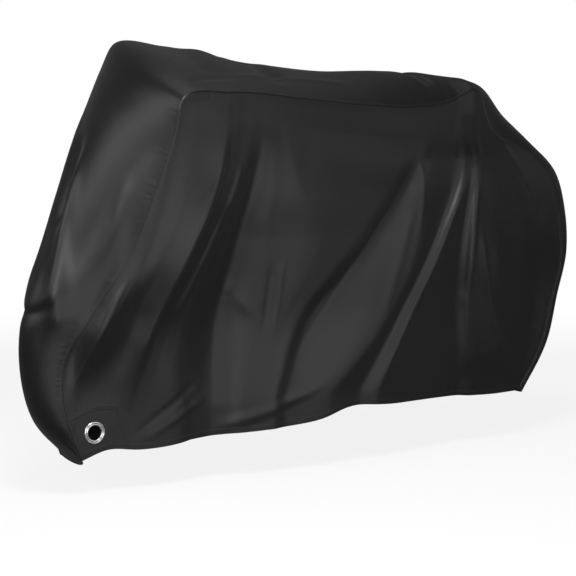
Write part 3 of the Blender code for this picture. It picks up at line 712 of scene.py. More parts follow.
@dataclass
class CoverSurface:
    """The outer surface of the whole cover, sewn together and hanging in its folds.

    scale is how many fine cells each coarse one has, and softening how often the folded cloth is
    evened out. ripple_height holds for ripple_base waves and falls for more of them. The fields
    below seed hold what build works out.
    """

    scale: int = 6
    gusset_cells: int = 8
    side_belly: float = 0.020
    eyelet_x: float = -0.723
    eyelet_height: float = 0.157
    corner_y: float = 0.060
    corner_columns: int = 4
    corner_rows: int = 3
    corner_flat: float = 0.050
    corner_fade: float = 0.260
    fold_steps: int = 24
    fold_fade: float = 0.22
    facing_start: float = 0.10
    facing_span: float = 0.45
    beside_start: float = 0.50
    beside_span: float = 0.30
    curve_steps: int = 10
    pleat_round: float = 0.6
    softening: int = 3
    crest_height: float = 0.012
    ripple_height: float = 0.00015
    ripple_waves: int = 26
    ripple_base: float = 8.0
    ripple_pitch: Pair = (0.05, 0.22)
    ripple_tilt: float = 0.45
    ripple_slant: float = 0.5
    ripple_drop: float = 0.4
    seed: int = 11
    points: np.ndarray = field(init=False)
    normals: np.ndarray = field(init=False)
    pieces: dict[str, np.ndarray] = field(init=False)
    grids: dict[str, np.ndarray] = field(init=False)
    seams: dict[str, np.ndarray] = field(init=False)
    hems: dict[str, np.ndarray] = field(init=False)
    every_quad: np.ndarray = field(init=False)
    marks: dict[str, np.ndarray] = field(init=False)

    def _flatten_corner(self, points: np.ndarray, side: float) -> np.ndarray:
        """Lays the cloth round an eyelet flat.

        Args:
            points: the cloth's points.
            side: -1 on the near side and 1 on the far side.

        Returns:
            The moved points.
        """
        result = points.copy()
        result[..., 1] += self._flat_share(points) * (side * self.corner_y - points[..., 1])
        return result

    def _flat_share(self, points: np.ndarray) -> np.ndarray:
        """1 close to an eyelet, where the cloth lies flat, and 0 away from it."""
        away = np.hypot(points[..., 0] - self.eyelet_x, points[..., 2] - self.eyelet_height)
        return 1.0 - smooth_step((away - self.corner_flat) / (self.corner_fade - self.corner_flat))

    def _through(self, marks: Sequence[Sequence[float]]) -> np.ndarray:
        """A smooth curve through a mark at each station, with a point for each fine cell."""
        return curve_through(marks, [row.cells * self.scale for row in STATIONS[1:]])

    def _side_grid(self, seam: np.ndarray, hem_rows: list[Triple], side: float) -> np.ndarray:
        """The grid of one side panel with its corner, from the top seam down, front to rear.

        Args:
            seam: its whole seam, from the front hem over the top to the rear hem.
            hem_rows: the points of its hem.
            side: -1 on the near side and 1 on the far side.

        Returns:
            The grid of points.
        """
        names = [row.name for row in STATIONS]
        bar, tail = names.index("bar"), names.index("saddle_tail")
        front_count = sum(row.cells for row in STATIONS[: bar + 1]) * self.scale
        rear_count = sum(row.cells for row in STATIONS[tail + 1 :]) * self.scale
        front = seam[front_count::-1]
        rear = seam[len(seam) - rear_count - 1 :]
        top = seam[front_count : len(seam) - rear_count]
        hem = curve_through(hem_rows, [self.curve_steps] * (len(hem_rows) - 1))
        hem = along_path(hem, np.linspace(0.0, path_lengths(hem)[-1], len(top)))
        hem[0] = front[-1]
        hem[-1] = rear[-1]
        down = np.linspace(0.0, 1.0, len(front))[:, None, None]
        along = np.linspace(0.0, 1.0, len(top))[None, :, None]
        ruled_down = blend(top[None], hem[None], down)
        ruled_along = blend(front[:, None], rear[:, None], along)
        corners = blend(blend(top[0], top[-1], along), blend(hem[0], hem[-1], along), down)
        grid = ruled_down + ruled_along - corners
        belly = np.sin(math.pi * down) * np.sin(math.pi * along)
        grid[..., 1] += side * self.side_belly * belly[..., 0]
        inner = self._flatten_corner(grid, side)
        inner[0] = grid[0]
        inner[:, 0] = grid[:, 0]
        inner[:, -1] = grid[:, -1]
        return inner

    def _gusset_grid(self, near: np.ndarray, middle: np.ndarray, far: np.ndarray) -> np.ndarray:
        """The gusset's grid.

        Args:
            near: its near seam.
            middle: the line along its middle.
            far: its far seam.

        Returns:
            The grid of points, with a row for each seam point and a column for each cell across.
        """
        marks = [(index, row.roundness) for index, row in enumerate(STATIONS)]
        roundness = np.clip(self._through(marks)[:, 1], 0.0, 1.0)[:, None, None]
        across = np.linspace(0.0, 1.0, self.gusset_cells * self.scale + 1)[None, :, None]
        near, middle, far = near[:, None], middle[:, None], far[:, None]
        centre = 0.5 * (near + far)
        rise = middle - centre
        arch = near + (far - near) * across + 4.0 * across * (1.0 - across) * rise
        angle = math.pi * across
        ellipse = centre - 0.5 * (far - near) * np.cos(angle) + rise * np.sin(angle)
        return arch + (ellipse - arch) * roundness

    def _normals(self, points: np.ndarray) -> np.ndarray:
        """The mean way that the quads round each point face.

        Args:
            points: the cover's points.

        Returns:
            A direction for each point.
        """
        corners = self.every_quad.T
        places = points[corners]
        facing = np.cross(places[2] - places[0], places[3] - places[1])
        normals = np.zeros_like(points)
        for corner in corners:
            for axis in range(3):
                normals[:, axis] += np.bincount(corner, facing[:, axis], len(points))
        return unit(normals)

    def _fold_share(self, places: np.ndarray, fold: Fold) -> np.ndarray:
        """How much of a fold's height each place takes.

        Args:
            places: places on the fold's face.
            fold: the fold.

        Returns:
            Shares from 0 to 1.
        """
        start, bend, end = (np.array(spot) for spot in (fold.start, fold.bend, fold.end))
        control = 2.0 * bend - 0.5 * (start + end)
        shares = np.linspace(0.0, 1.0, self.fold_steps + 1)[:, None]
        path = (1 - shares) ** 2 * start + 2 * shares * (1 - shares) * control + shares**2 * end
        widest = max(fold.wide)
        low, high = path.min(axis=0) - widest, path.max(axis=0) + widest
        inside = np.flatnonzero(((places > low) & (places < high)).all(axis=1))
        spots = places[inside]
        nearest = np.full(len(spots), np.inf)
        along = np.zeros(len(spots))
        for step in range(self.fold_steps):
            run = path[step + 1] - path[step]
            part = np.clip((spots - path[step]) @ run / (run @ run), 0.0, 1.0)
            gap = np.linalg.norm(spots - path[step] - part[:, None] * run, axis=1)
            closer = gap < nearest
            nearest = np.where(closer, gap, nearest)
            along = np.where(closer, (step + part) / self.fold_steps, along)
        width = fold.wide[0] + (fold.wide[1] - fold.wide[0]) * along
        rise = smooth_step(along / self.fold_fade) * smooth_step((1.0 - along) / self.fold_fade)
        away = np.clip(nearest / width, 0.0, 1.0)
        rounded = 1.0 - smooth_step(away)
        sharp = (1.0 - away) ** 2
        result = np.zeros(len(places))
        result[inside] = rise * (rounded + (sharp - rounded) * fold.keen)
        return result

    def _faces(self, normals: np.ndarray, face: Face) -> np.ndarray:
        """1 where the cloth looks the way that a face does, and 0 where it looks elsewhere."""
        facing = np.array(face.value[1])
        return smooth_step((normals @ facing - self.facing_start) / self.facing_span)

    def _lift(
        self, points: np.ndarray, normals: np.ndarray, folds: dict[Face, tuple[Fold, ...]]
    ) -> np.ndarray:
        """How far the folds move each point along its normal.

        Args:
            points: the points.
            normals: their normals.
            folds: the folds by the face that they are drawn on.

        Returns:
            A distance for each point.
        """
        lift = np.zeros(len(points))
        for face, drawn in folds.items():
            takes_part = self._faces(normals, face)
            places = points[:, face.value[0]]
            for fold in drawn:
                lift += fold.height * takes_part * self._fold_share(places, fold)
        return lift * (1.0 - self._held_flat(points, normals))

    def _pleat_lift(self, points: np.ndarray, normals: np.ndarray) -> np.ndarray:
        """How far the pleats of the near side move each point along its normal.

        Args:
            points: the points.
            normals: their normals.

        Returns:
            A distance for each point.
        """
        levels = PLEAT_LEVELS[::-1]
        fine = [self.curve_steps] * (len(levels) - 1)
        lines = []
        for pleat in PLEATS:
            marks = zip(levels, pleat.places[::-1], pleat.rises[::-1])
            line = curve_through(list(marks), fine)
            lines.append([np.interp(points[:, 2], line[:, 0], line[:, axis]) for axis in (1, 2)])
        lift = np.zeros(len(points))
        for (place, rise), (next_place, next_rise) in zip(lines[:-1], lines[1:]):
            share = (points[:, 0] - place) / (next_place - place)
            between = (share >= 0.0) & (share < 1.0)
            eased = share + self.pleat_round * (smooth_step(share) - share)
            lift = np.where(between, rise + (next_rise - rise) * eased, lift)
        return lift * self._faces(normals, Face.NEAR) * (1.0 - self._held_flat(points, normals))

    def _held_flat(self, points: np.ndarray, normals: np.ndarray) -> np.ndarray:
        """1 where an eyelet keeps the cloth flat, and 0 away from it and on the gusset."""
        beside = smooth_step((np.abs(normals[:, 1]) - self.beside_start) / self.beside_span)
        return self._flat_share(points) * beside

    def _ripple(self, points: np.ndarray) -> np.ndarray:
        """Slight unevenness of hanging cloth, from waves that mostly run across the hang.

        Args:
            points: the points.

        Returns:
            A small distance for each point.
        """
        draw = np.random.default_rng(self.seed)
        ripple = np.zeros(len(points))
        shortest, longest = self.ripple_pitch
        for _ in range(self.ripple_waves):
            pitch = draw.uniform(shortest, longest)
            tilt = draw.normal(0.0, self.ripple_tilt)
            slant = draw.normal(0.0, self.ripple_slant)
            way = np.array([math.cos(tilt), slant, self.ripple_drop * math.sin(tilt)])
            turns = points @ (way * 2.0 * math.pi / pitch) + draw.uniform(0.0, 2.0 * math.pi)
            ripple += np.sin(turns) * pitch / longest
        return ripple * self.ripple_height / math.sqrt(self.ripple_waves / self.ripple_base)

    def _soften(self, points: np.ndarray) -> np.ndarray:
        """Evens the cloth out, apart from its hems and from round the eyelets.

        Args:
            points: the points.

        Returns:
            The moved points.
        """
        pairs = np.unique(np.sort(quad_sides(self.every_quad), axis=1), axis=0)
        first, second = pairs.T
        count = np.bincount(pairs.ravel(), minlength=len(points))
        share = 0.5 * (1.0 - self._held_flat(points, self._normals(points)))
        share[np.concatenate(list(self.hems.values()))] = 0.0
        for _ in range(self.softening):
            total = [
                np.bincount(first, column[second], len(points))
                + np.bincount(second, column[first], len(points))
                for column in points.T
            ]
            points = points + share[:, None] * (np.stack(total, axis=1) / count[:, None] - points)
        return points

    def _sew(self) -> np.ndarray:
        """Lays out the grids of the gusset and of the side panels on shared seams.

        Returns:
            The points of the cover before it hangs in folds.
        """
        near_seam = self._flatten_corner(self._through([row.near for row in STATIONS]), -1.0)
        far_seam = self._flatten_corner(self._through([row.far for row in STATIONS]), 1.0)
        middle = self._through([(row.middle[0], 0.0, row.middle[1]) for row in STATIONS])
        gusset = self._gusset_grid(near_seam, middle, far_seam)
        gusset_ids = np.arange(gusset[..., 0].size).reshape(gusset.shape[:2])
        points = [gusset.reshape(-1, 3)]
        count = gusset_ids.size
        self.grids = {"gusset": gusset_ids}
        self.pieces = {"gusset": grid_quads(gusset_ids).reshape(-1, 4)}
        self.seams = {}
        rows, columns = self.corner_rows * self.scale, self.corner_columns * self.scale
        for name, side, seam, hem, seam_ids in (
            ("near", -1.0, near_seam, [row.near for row in HEM], gusset_ids[:, 0]),
            ("far", 1.0, far_seam, [row.far for row in HEM], gusset_ids[:, -1]),
        ):
            grid = self._side_grid(seam, hem, side)
            drop = len(grid)
            ids = np.empty(grid.shape[:2], int)
            ids[:, 0] = seam_ids[drop - 1 :: -1]
            ids[:, -1] = seam_ids[len(seam_ids) - drop :]
            ids[0] = seam_ids[drop - 1 : len(seam_ids) - drop + 1]
            inside = grid[1:, 1:-1]
            ids[1:, 1:-1] = count + np.arange(inside[..., 0].size).reshape(inside.shape[:2])
            count += inside[..., 0].size
            points.append(inside.reshape(-1, 3))
            quads = grid_quads(ids)
            if side > 0.0:
                quads = quads[..., ::-1]
            corner = np.zeros(quads.shape[:2], bool)
            corner[-rows:, :columns] = True
            self.pieces[name + "_panel"] = quads[~corner]
            self.pieces[name + "_corner"] = quads[corner]
            self.grids[name] = ids
            self.seams[name + "_seam"] = seam_ids
            self.seams[name + "_corner_seam"] = np.concatenate(
                [ids[-rows - 1, : columns + 1], ids[-rows:, columns]]
            )
        self.hems = {
            "near_hem": self.grids["near"][-1],
            "far_hem": self.grids["far"][-1],
            "front_hem": gusset_ids[0],
            "rear_hem": gusset_ids[-1],
        }
        self.every_quad = np.concatenate(list(self.pieces.values()))
        return np.concatenate(points)

    def build(self) -> None:
        """Works out the points, their normals, the quads of each piece and the seam lines."""
        points = self._sew()
        normals = self._normals(points)
        lift = self._lift(points, normals, MAIN_FOLDS) + self._pleat_lift(points, normals)
        points = self._soften(points + lift[:, None] * normals)
        normals = self._normals(points)
        fine = self._lift(points, normals, CREASES)
        fine += self._ripple(points) * (1.0 - self._held_flat(points, normals))
        points = points + fine[:, None] * normals
        points[:, 2] -= MOUNT_HEIGHT
        self.points = points
        self.normals = self._normals(points)
        self.marks = {
            "seam": self._gap(list(self.seams.values())),
            "hem": self._gap(list(self.hems.values())),
            # how far the fine creases stand out; the cloth material paints a lighter highlight colour on
            # these crests
            "crest": np.clip(0.5 + fine / self.crest_height, 0.0, 1.0),
        }

    def _gap(self, lines: Sequence[np.ndarray]) -> np.ndarray:
        """How far each point is from the closest of some lines of points.

        Args:
            lines: the point numbers of each line.

        Returns:
            A distance for each point.
        """
        ends = self.points[np.unique(np.concatenate(lines))]
        tree = KDTree(len(ends))
        for index, end in enumerate(ends):
            tree.insert(end, index)
        tree.balance()
        return np.array([tree.find(point)[2] for point in self.points])

    def cut_places(self, piece: str) -> np.ndarray:
        """Places on the flat cut of a piece, in metres, for the weave.

        Args:
            piece: the piece's node.

        Returns:
            Two coordinates for each point of the cover.
        """
        if piece != "gusset":
            return self.points[:, [0, 2]]
        ids = self.grids["gusset"]
        run = path_lengths(self.points[ids[:, ids.shape[1] // 2]])
        width = path_lengths(self.points[ids[ids.shape[0] // 2]])
        cut = np.zeros((len(self.points), 2))
        cut[ids] = np.stack(np.meshgrid(run, width, indexing="ij"), axis=-1)
        return cut


# --- the pieces -------------------------------------------------------------------------------


class Side(Enum):
    """A side of the cover, by the sign of Y."""

    NEAR = -1.0
    FAR = 1.0

    @property
    def label(self) -> str:
        """The side's name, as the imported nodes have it."""
        return self.name.lower()


def dress(piece: bpy.types.Object, slot: str, *nodes: str) -> None:
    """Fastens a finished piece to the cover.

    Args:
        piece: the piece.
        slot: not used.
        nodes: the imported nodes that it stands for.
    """
    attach(piece, "root")
    if nodes:
        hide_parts(*nodes)
    log.info("%s: %d faces", piece.name, len(piece.data.polygons))


class Cut(NamedTuple):
    """The flat cut of one piece of cloth: its width and length, and its area."""

    flat: Pair
    area: float


@dataclass
class ClothPieces:
    """The cut pieces of the cover, each a thin closed sheet on the shared surface."""

    surface: CoverSurface
    cloth: bpy.types.Material
    thickness: float = 0.0010
    seam_inset: float = 0.0003
    hole_radius: float = 0.0200
    hole_steps: int = 96
    sharp_angle: float = 70.0
    cuts: dict[str, Cut] = field(
        default_factory=lambda: {
            "gusset": Cut((0.560, 4.300), 1.080),
            "near_panel": Cut((1.700, 1.080), 1.295),
            "far_panel": Cut((1.700, 1.120), 1.408),
            "near_corner": Cut((0.150, 0.110), 0.0137),
            "far_corner": Cut((0.150, 0.110), 0.0137),
        }
    )

    def build(self) -> dict[str, bpy.types.Object]:
        """Makes every cut piece.

        Returns:
            The pieces by their nodes.
        """
        made = {name: self._sheet(name, quads) for name, quads in self.surface.pieces.items()}
        for side in Side:
            self._cut_hole(made[side.label + "_corner"], side)
        for name, piece in made.items():
            dress(piece, "cloth", name)
        return made

    def _edges(self, quads: np.ndarray) -> np.ndarray:
        """The edges of a piece of cloth.

        Args:
            quads: the piece's quads.

        Returns:
            The sides that only one of the quads has, in its direction.
        """
        ends = quad_sides(quads)
        size = len(self.surface.points)
        used = ends[:, 0] * size + ends[:, 1]
        back = ends[:, 1] * size + ends[:, 0]
        return ends[~np.isin(back, used)]

    def _set_back(self, quads: np.ndarray, edge: np.ndarray) -> np.ndarray:
        """Draws a piece in from the seam lines.

        Args:
            quads: the piece's quads.
            edge: the point numbers along its edges.

        Returns:
            The cover's points with those of the edges moved in.
        """
        points = self.surface.points
        centres = points[quads].mean(axis=1)
        pull = np.zeros_like(points)
        for corner in quads.T:
            np.add.at(pull, corner, unit(centres - points[corner]))
        moved = points.copy()
        moved[edge] += unit(pull[edge]) * self.seam_inset
        return moved

    def _sheet(self, name: str, quads: np.ndarray) -> bpy.types.Object:
        """Makes one cut piece with its weave places and its distances from seams and hems.

        Args:
            name: its node.
            quads: its quads.

        Returns:
            The piece.
        """
        surface = self.surface
        edges = self._edges(quads)
        numbers = np.unique(quads)
        local = np.full(len(surface.points), -1)
        local[numbers] = np.arange(len(numbers))
        outer = self._set_back(quads, np.unique(edges))[numbers]
        inner = outer - surface.normals[numbers] * self.thickness
        outside = local[quads]
        first, second = local[edges[:, 0]], local[edges[:, 1]]
        inside = len(numbers)
        rim = np.stack([second, first, first + inside, second + inside], axis=1)
        faces = [outside, outside[:, ::-1] + inside, rim]
        piece = mesh_object(name + "_cloth", np.concatenate([outer, inner]), faces, self.cloth)
        piece.data.set_sharp_from_angle(angle=math.radians(self.sharp_angle))
        for key, values in surface.marks.items():
            layer = piece.data.attributes.new(key, "FLOAT", "POINT")
            layer.data.foreach_set("value", np.tile(values[numbers], 2).astype(np.float32))
        places = np.tile(surface.cut_places(name)[numbers], (2, 1))
        corners = np.empty(len(piece.data.loops), int)
        piece.data.loops.foreach_get("vertex_index", corners)
        uv = piece.data.uv_layers.new(name=UV_MAP)
        uv.data.foreach_set("uv", places[corners].ravel().astype(np.float32))
        return piece

    def _cut_hole(self, piece: bpy.types.Object, side: Side) -> None:
        """Cuts the round hole for an eyelet through a corner piece.

        Args:
            piece: the corner piece.
            side: its side of the cover.
        """
        surface = self.surface
        bpy.ops.mesh.primitive_cylinder_add(
            vertices=self.hole_steps,
            radius=self.hole_radius,
            depth=surface.corner_y / 2,
            location=(
                surface.eyelet_x,
                side.value * surface.corner_y,
                surface.eyelet_height - MOUNT_HEIGHT,
            ),
            rotation=(math.pi / 2, 0.0, 0.0),
        )
        cutter = bpy.context.active_object
        hole = piece.modifiers.new("Hole", "BOOLEAN")
        hole.operation = "DIFFERENCE"
        hole.object = cutter
        depsgraph = bpy.context.evaluated_depsgraph_get()
        cut = bpy.data.meshes.new_from_object(piece.evaluated_get(depsgraph))
        piece.modifiers.clear()
        piece.data = cut
        cut.materials.clear()
        cut.materials.append(self.cloth)
        cut.polygons.foreach_set("material_index", [0] * len(cut.polygons))
        bpy.data.objects.remove(cutter)


@dataclass
class Eyelet:
    """A metal eyelet of two turned pieces, set in a front corner for a lock to pass through."""

    side: Side
    surface: CoverSurface
    metal: bpy.types.Material
    cloth_thickness: float = 0.0015
    gap: float = 0.0003
    bore_radius: float = 0.0180
    barrel_radius: float = 0.0193
    flange_radius: float = 0.0280
    flange_height: float = 0.0030
    groove_depth: float = 0.0011
    lip_radius: float = 0.0216
    lip_thickness: float = 0.0012
    washer_radius: float = 0.0270
    washer_thickness: float = 0.0016
    chamfer: float = 0.0005
    dome_fullness: float = 0.55
    groove_width: float = 0.22
    dome_steps: int = 18
    steps: int = 96
    sharp_angle: float = 50.0

    def build(self) -> list[bpy.types.Object]:
        """Makes the eyelet.

        Returns:
            The outer and the inner piece.
        """
        made = []
        for part, profile in (
            ("grommet", self._grommet_profile()),
            ("washer", self._washer_profile()),
        ):
            node = f"{self.side.label}_{part}"
            made.append(self._turned(node + "_metal", profile))
            dress(made[-1], "eyelet", node)
        return made

    def _grommet_profile(self) -> list[Pair]:
        """The outer piece: a beaded flange, a barrel through the cloth and a lip turned out.

        Returns:
            The (radius, height) of each corner of its section.
        """
        under = self.gap
        back = -(self.cloth_thickness + self.gap + self.washer_thickness + self.gap)
        centre = 0.5 * (self.bore_radius + self.flange_radius)
        reach = 0.5 * (self.flange_radius - self.bore_radius)
        profile = []
        for step in range(self.dome_steps + 1):
            turn = math.pi * step / self.dome_steps
            rise = math.sin(turn) ** self.dome_fullness * (self.flange_height - under)
            groove = self.groove_depth * math.exp(-((math.cos(turn) / self.groove_width) ** 2))
            profile.append((centre - reach * math.cos(turn), under + rise - groove))
        profile += [
            (self.barrel_radius, under),
            (self.barrel_radius, back),
            (self.lip_radius, back),
            (self.lip_radius + 0.2 * self.chamfer, back - 0.4 * self.lip_thickness),
            (self.lip_radius - self.chamfer, back - self.lip_thickness),
            (self.barrel_radius, back - 1.2 * self.lip_thickness),
            (self.bore_radius + self.chamfer, back - 0.9 * self.lip_thickness),
            (self.bore_radius, back - 0.3 * self.lip_thickness),
        ]
        return profile

    def _washer_profile(self) -> list[Pair]:
        """The inner piece: a flat ring that the lip of the outer piece holds.

        Returns:
            The (radius, height) of each corner of its section.
        """
        front = -(self.cloth_thickness + self.gap)
        back = front - self.washer_thickness
        bore = self.barrel_radius + self.gap
        return [
            (bore, front),
            (self.washer_radius - 0.4 * self.chamfer, front),
            (self.washer_radius, front - 0.4 * self.chamfer),
            (self.washer_radius, back + self.chamfer),
            (self.washer_radius - self.chamfer, back),
            (bore, back),
        ]

    def _turned(self, name: str, profile: list[Pair]) -> bpy.types.Object:
        """Turns a section round the eyelet's axis.

        Args:
            name: the piece's name.
            profile: the (radius, height) of each corner of its closed section.

        Returns:
            The piece.
        """
        spin = ring_turns(self.steps)
        radius, height = np.array(profile).T
        sign = self.side.value
        points = np.stack(
            [
                self.surface.eyelet_x + np.outer(np.cos(spin), radius),
                sign * (self.surface.corner_y + np.outer(np.ones(self.steps), height)),
                self.surface.eyelet_height - MOUNT_HEIGHT + np.outer(np.sin(spin), radius),
            ],
            axis=-1,
        )
        ids = np.arange(points[..., 0].size).reshape(self.steps, -1)
        right, up = np.roll(ids, -1, axis=0), np.roll(ids, -1, axis=1)
        quads = np.stack([ids, right, np.roll(right, -1, axis=1), up], axis=-1).reshape(-1, 4)
        if self.side is Side.FAR:
            quads = quads[:, ::-1]
        ring = mesh_object(name, points.reshape(-1, 3), [quads], self.metal)
        ring.data.set_sharp_from_angle(angle=math.radians(self.sharp_angle))
        return ring


@dataclass
class Sewing:
    """The seams between the pieces and the rows of stitches beside seams and hems.

    stitch_shape gives a stitch's rings from end to end: their place along it, how far they stand
    out and how thick they are, as shares of its half length and of its radius.
    """

    surface: CoverSurface
    cloth: bpy.types.Material
    thread: bpy.types.Material
    seam_welt: float = 0.0011
    corner_welt: float = 0.0006
    welt_sides: int = 6
    seam_row: float = 0.0055
    hem_row: float = 0.0130
    stitch_pitch: float = 0.0046
    stitch_length: float = 0.0033
    stitch_radius: float = 0.00040
    stitch_sides: int = 5
    stitch_shape: tuple[Triple, ...] = (
        (-1.0, -0.5, 0.45),
        (-0.55, 0.45, 1.0),
        (0.55, 0.45, 1.0),
        (1.0, -0.5, 0.45),
    )

    def __post_init__(self) -> None:
        """Keeps the surface in a form in which the closest place on it is quickly found."""
        self.tree = BVHTree.FromPolygons(
            self.surface.points.tolist(), self.surface.every_quad.tolist()
        )

    def build(self) -> dict[str, list[bpy.types.Object]]:
        """Makes the welts and the rows of stitches.

        Returns:
            The made pieces by the node that they are sewn to.
        """
        gusset = self.surface.grids["gusset"]
        made: dict[str, list[bpy.types.Object]] = {"gusset": []}
        for side, seam, beside in ((Side.NEAR, 0, 1), (Side.FAR, -1, -2)):
            name = side.label
            panel = self.surface.grids[name]
            rim = np.concatenate([panel[::-1, 0], panel[0, 1:-1], panel[:, -1]])
            inner = np.concatenate([panel[::-1, 1], panel[1, 1:-1], panel[:, -2]])
            made[name + "_panel"] = [
                self._welt(name + "_seam_welt", name + "_seam", self.seam_welt),
                self._welt(name + "_corner_welt", name + "_corner_seam", self.corner_welt),
                self._row(name + "_seam_stitches", rim, inner, self.seam_row),
            ]
            edge, inside = gusset[:, seam], gusset[:, beside]
            made["gusset"] += [self._row(name + "_gusset_stitches", edge, inside, self.seam_row)]
            made[name + "_panel"] += [
                self._row(name + "_hem_stitches", panel[-1], panel[-2], self.hem_row)
            ]
        for name, hem, above in (("front", 0, 1), ("rear", -1, -2)):
            made["gusset"] += [
                self._row(name + "_hem_stitches", gusset[hem], gusset[above], self.hem_row)
            ]
        return made

    def _welt(self, name: str, seam: str, radius: float) -> bpy.types.Object:
        """Makes the narrow ridge along a seam.

        Args:
            name: the piece's name.
            seam: the seam's name on the surface.
            radius: how far the ridge stands out.

        Returns:
            The ridge.
        """
        line = self.surface.seams[seam]
        centre = self.surface.points[line][:, None]
        out = self.surface.normals[line]
        beside = np.cross(unit(np.gradient(centre[:, 0], axis=0)), out)
        turns = ring_turns(self.welt_sides)[:, None]
        offset = np.cos(turns) * out[:, None] + np.sin(turns) * beside[:, None]
        welt = mesh_object(name, *tubes((centre + radius * offset)[None]), self.cloth)
        dress(welt, "cloth")
        return welt

    def _row(
        self, name: str, line: np.ndarray, inner: np.ndarray, inset: float
    ) -> bpy.types.Object:
        """Makes a row of stitches beside an edge.

        Args:
            name: the piece's name.
            line: the point numbers of the edge.
            inner: those next to them, on the side where the row is.
            inset: how far the row is from the edge.

        Returns:
            The row as one piece.
        """
        points = self.surface.points
        spots = points[line] + unit(points[inner] - points[line]) * inset
        found = [self.tree.find_nearest(Vector(spot))[:2] for spot in spots]
        path = np.array([(*place, *normal) for place, normal in found])
        reach = path_lengths(path[:, :3])[-1]
        middles = np.arange(2.0 * inset, reach - 2.0 * inset, self.stitch_pitch)
        half = 0.5 * self.stitch_length
        turns = ring_turns(self.stitch_sides)[:, None]
        rings = []
        for share, lift, thick in self.stitch_shape:
            centre = along_path(path, middles + share * half)
            ahead = along_path(path, middles + share * half + half)
            out = unit(centre[:, 3:])
            beside = np.cross(unit(ahead[:, :3] - centre[:, :3]), out)[:, None]
            lifted = (lift + thick * np.cos(turns)) * out[:, None]
            offset = lifted + thick * np.sin(turns) * beside
            rings.append(centre[:, None, :3] + self.stitch_radius * offset)
        row = mesh_object(name, *tubes(np.stack(rings, axis=1)), self.thread)
        dress(row, "cloth")
        return row


# --- the studio -------------------------------------------------------------------------------


COVER_MIDDLE: Triple = (0.0, 0.0, -0.55)


class SoftBox(NamedTuple):
    """A soft light: its place, what it points at, its width and height, and its power."""

    name: str
    place: Triple
    target: Triple
    width: float
    height: float
    power: float


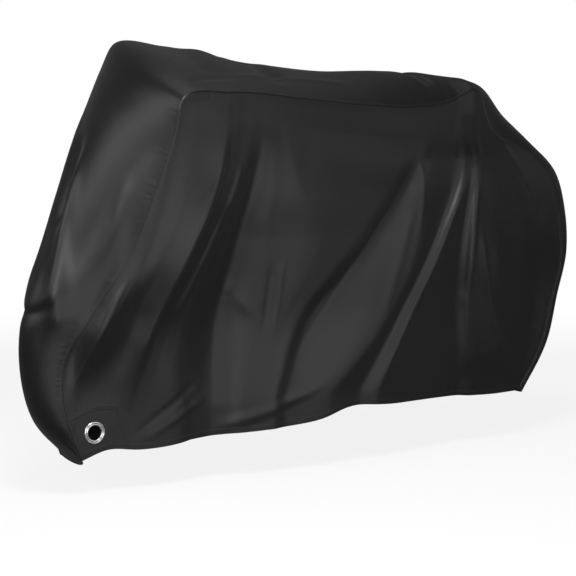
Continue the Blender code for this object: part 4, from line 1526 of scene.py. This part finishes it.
@dataclass
class Studio:
    """A pale floor, soft lights and the camera."""

    floor: bpy.types.Material
    floor_radius: float = 6.0
    camera_turn: float = -34.4
    camera_rise: float = 4.4
    camera_away: float = 4.025
    camera_lens: float = 93.3
    camera_sensor: float = 36.0
    camera_target: Triple = (-0.108, 0.0, 0.482 - MOUNT_HEIGHT)
    room_grey: float = 0.02
    boxes: tuple[SoftBox, ...] = (
        SoftBox("top_left", (-1.15, -1.58, 2.24), COVER_MIDDLE, 1.1, 1.1, 90.0),
        SoftBox("top_soft", (0.00, 0.30, 2.75), COVER_MIDDLE, 3.0, 2.0, 12.0),
        SoftBox("left_key", (-2.55, -2.14, 0.36), COVER_MIDDLE, 2.3, 1.1, 35.0),
        SoftBox("left_side", (-3.28, 0.58, 0.56), COVER_MIDDLE, 2.6, 1.1, 10.0),
        SoftBox("side_high", (-2.87, 0.30, 1.25), COVER_MIDDLE, 2.3, 1.1, 14.0),
        SoftBox("front_mid", (0.58, -3.28, 0.16), COVER_MIDDLE, 2.3, 1.1, 14.0),
        SoftBox("front_high", (-1.17, -2.63, 1.25), COVER_MIDDLE, 2.3, 1.1, 8.6),
        SoftBox("front_low", (0.87, -3.25, -0.75), COVER_MIDDLE, 2.0, 0.6, 5.0),
        SoftBox("rear_fill", (2.55, -2.14, 0.16), COVER_MIDDLE, 2.0, 1.1, 3.6),
        SoftBox("floor_glow", (-0.15, -1.28, -1.05), (-0.15, -1.28, 0.00), 1.3, 0.8, 4.8),
        SoftBox("floor_left", (-1.03, -1.47, -0.90), COVER_MIDDLE, 0.7, 0.3, 2.8),
        SoftBox("floor_right", (1.35, -1.45, -1.05), (1.35, -1.45, 0.00), 0.9, 0.8, 2.4),
    )

    def build(self) -> None:
        """Makes the floor, the lights, the room's light and the camera."""
        bpy.context.scene.view_settings.view_transform = "Standard"
        self._floor()
        for box in self.boxes:
            self._light(box)
        self._room()
        self._camera()

    def _floor(self) -> None:
        """Makes the round floor."""
        bpy.ops.mesh.primitive_circle_add(
            vertices=96,
            radius=self.floor_radius,
            fill_type="NGON",
            location=(0.0, 0.0, -MOUNT_HEIGHT),
        )
        floor = bpy.context.active_object
        floor.name = "studio_floor"
        floor.data.materials.append(self.floor)

    def _light(self, box: SoftBox) -> None:
        """Makes one soft light, which isn't seen itself.

        Args:
            box: the light's values.
        """
        light = bpy.data.lights.new(box.name, "AREA")
        light.shape = "RECTANGLE"
        light.size = box.width
        light.size_y = box.height
        light.energy = box.power
        made = bpy.data.objects.new(box.name, light)
        made.location = box.place
        made.visible_camera = False
        way = Vector(box.target) - Vector(box.place)
        made.rotation_euler = way.to_track_quat("-Z", "Y").to_euler()
        bpy.context.scene.collection.objects.link(made)

    def _room(self) -> None:
        """Makes a room that looks white and gives only a trace of light."""
        world = bpy.data.worlds.new("studio_room")
        world.use_nodes = True
        bpy.context.scene.world = world
        nodes, links = world.node_tree.nodes, world.node_tree.links
        sky = nodes["Background"]
        sky.inputs["Color"].default_value = (1.0, 1.0, 1.0, 1.0)
        path = nodes.new("ShaderNodeLightPath")
        strength = nodes.new("ShaderNodeMapRange")
        strength.inputs["To Min"].default_value = self.room_grey
        strength.inputs["To Max"].default_value = 1.0
        links.new(path.outputs["Is Camera Ray"], strength.inputs["Value"])
        links.new(strength.outputs[0], sky.inputs["Strength"])

    def _camera(self) -> None:
        """Makes the camera and points it at the cover."""
        lens = bpy.data.cameras.new("camera")
        lens.lens = self.camera_lens
        lens.sensor_width = self.camera_sensor
        camera = bpy.data.objects.new("camera", lens)
        turn, rise = math.radians(self.camera_turn), math.radians(self.camera_rise)
        level = math.cos(rise)
        back = Vector((math.sin(turn) * level, -math.cos(turn) * level, math.sin(rise)))
        camera.location = Vector(self.camera_target) + back * self.camera_away
        camera.rotation_euler = (-back).to_track_quat("-Z", "Y").to_euler()
        bpy.context.scene.collection.objects.link(camera)
        bpy.context.scene.camera = camera


def main() -> None:
    """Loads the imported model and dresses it."""
    logging.basicConfig(level=logging.INFO, format="%(message)s")
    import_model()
    cloth = CoatedCloth().build()
    metal = PlatedSteel().build()
    thread = SewingThread().build()
    surface = CoverSurface()
    surface.build()
    log.info("surface: %d points", len(surface.points))
    pieces = ClothPieces(surface, cloth)
    made = pieces.build()
    extras = Sewing(surface, cloth, thread).build()
    for side in Side:
        extras[side.label + "_corner"] = Eyelet(side, surface, metal).build()
    Studio(StudioFloor().build()).build()


if __name__ == "__main__":
    main()
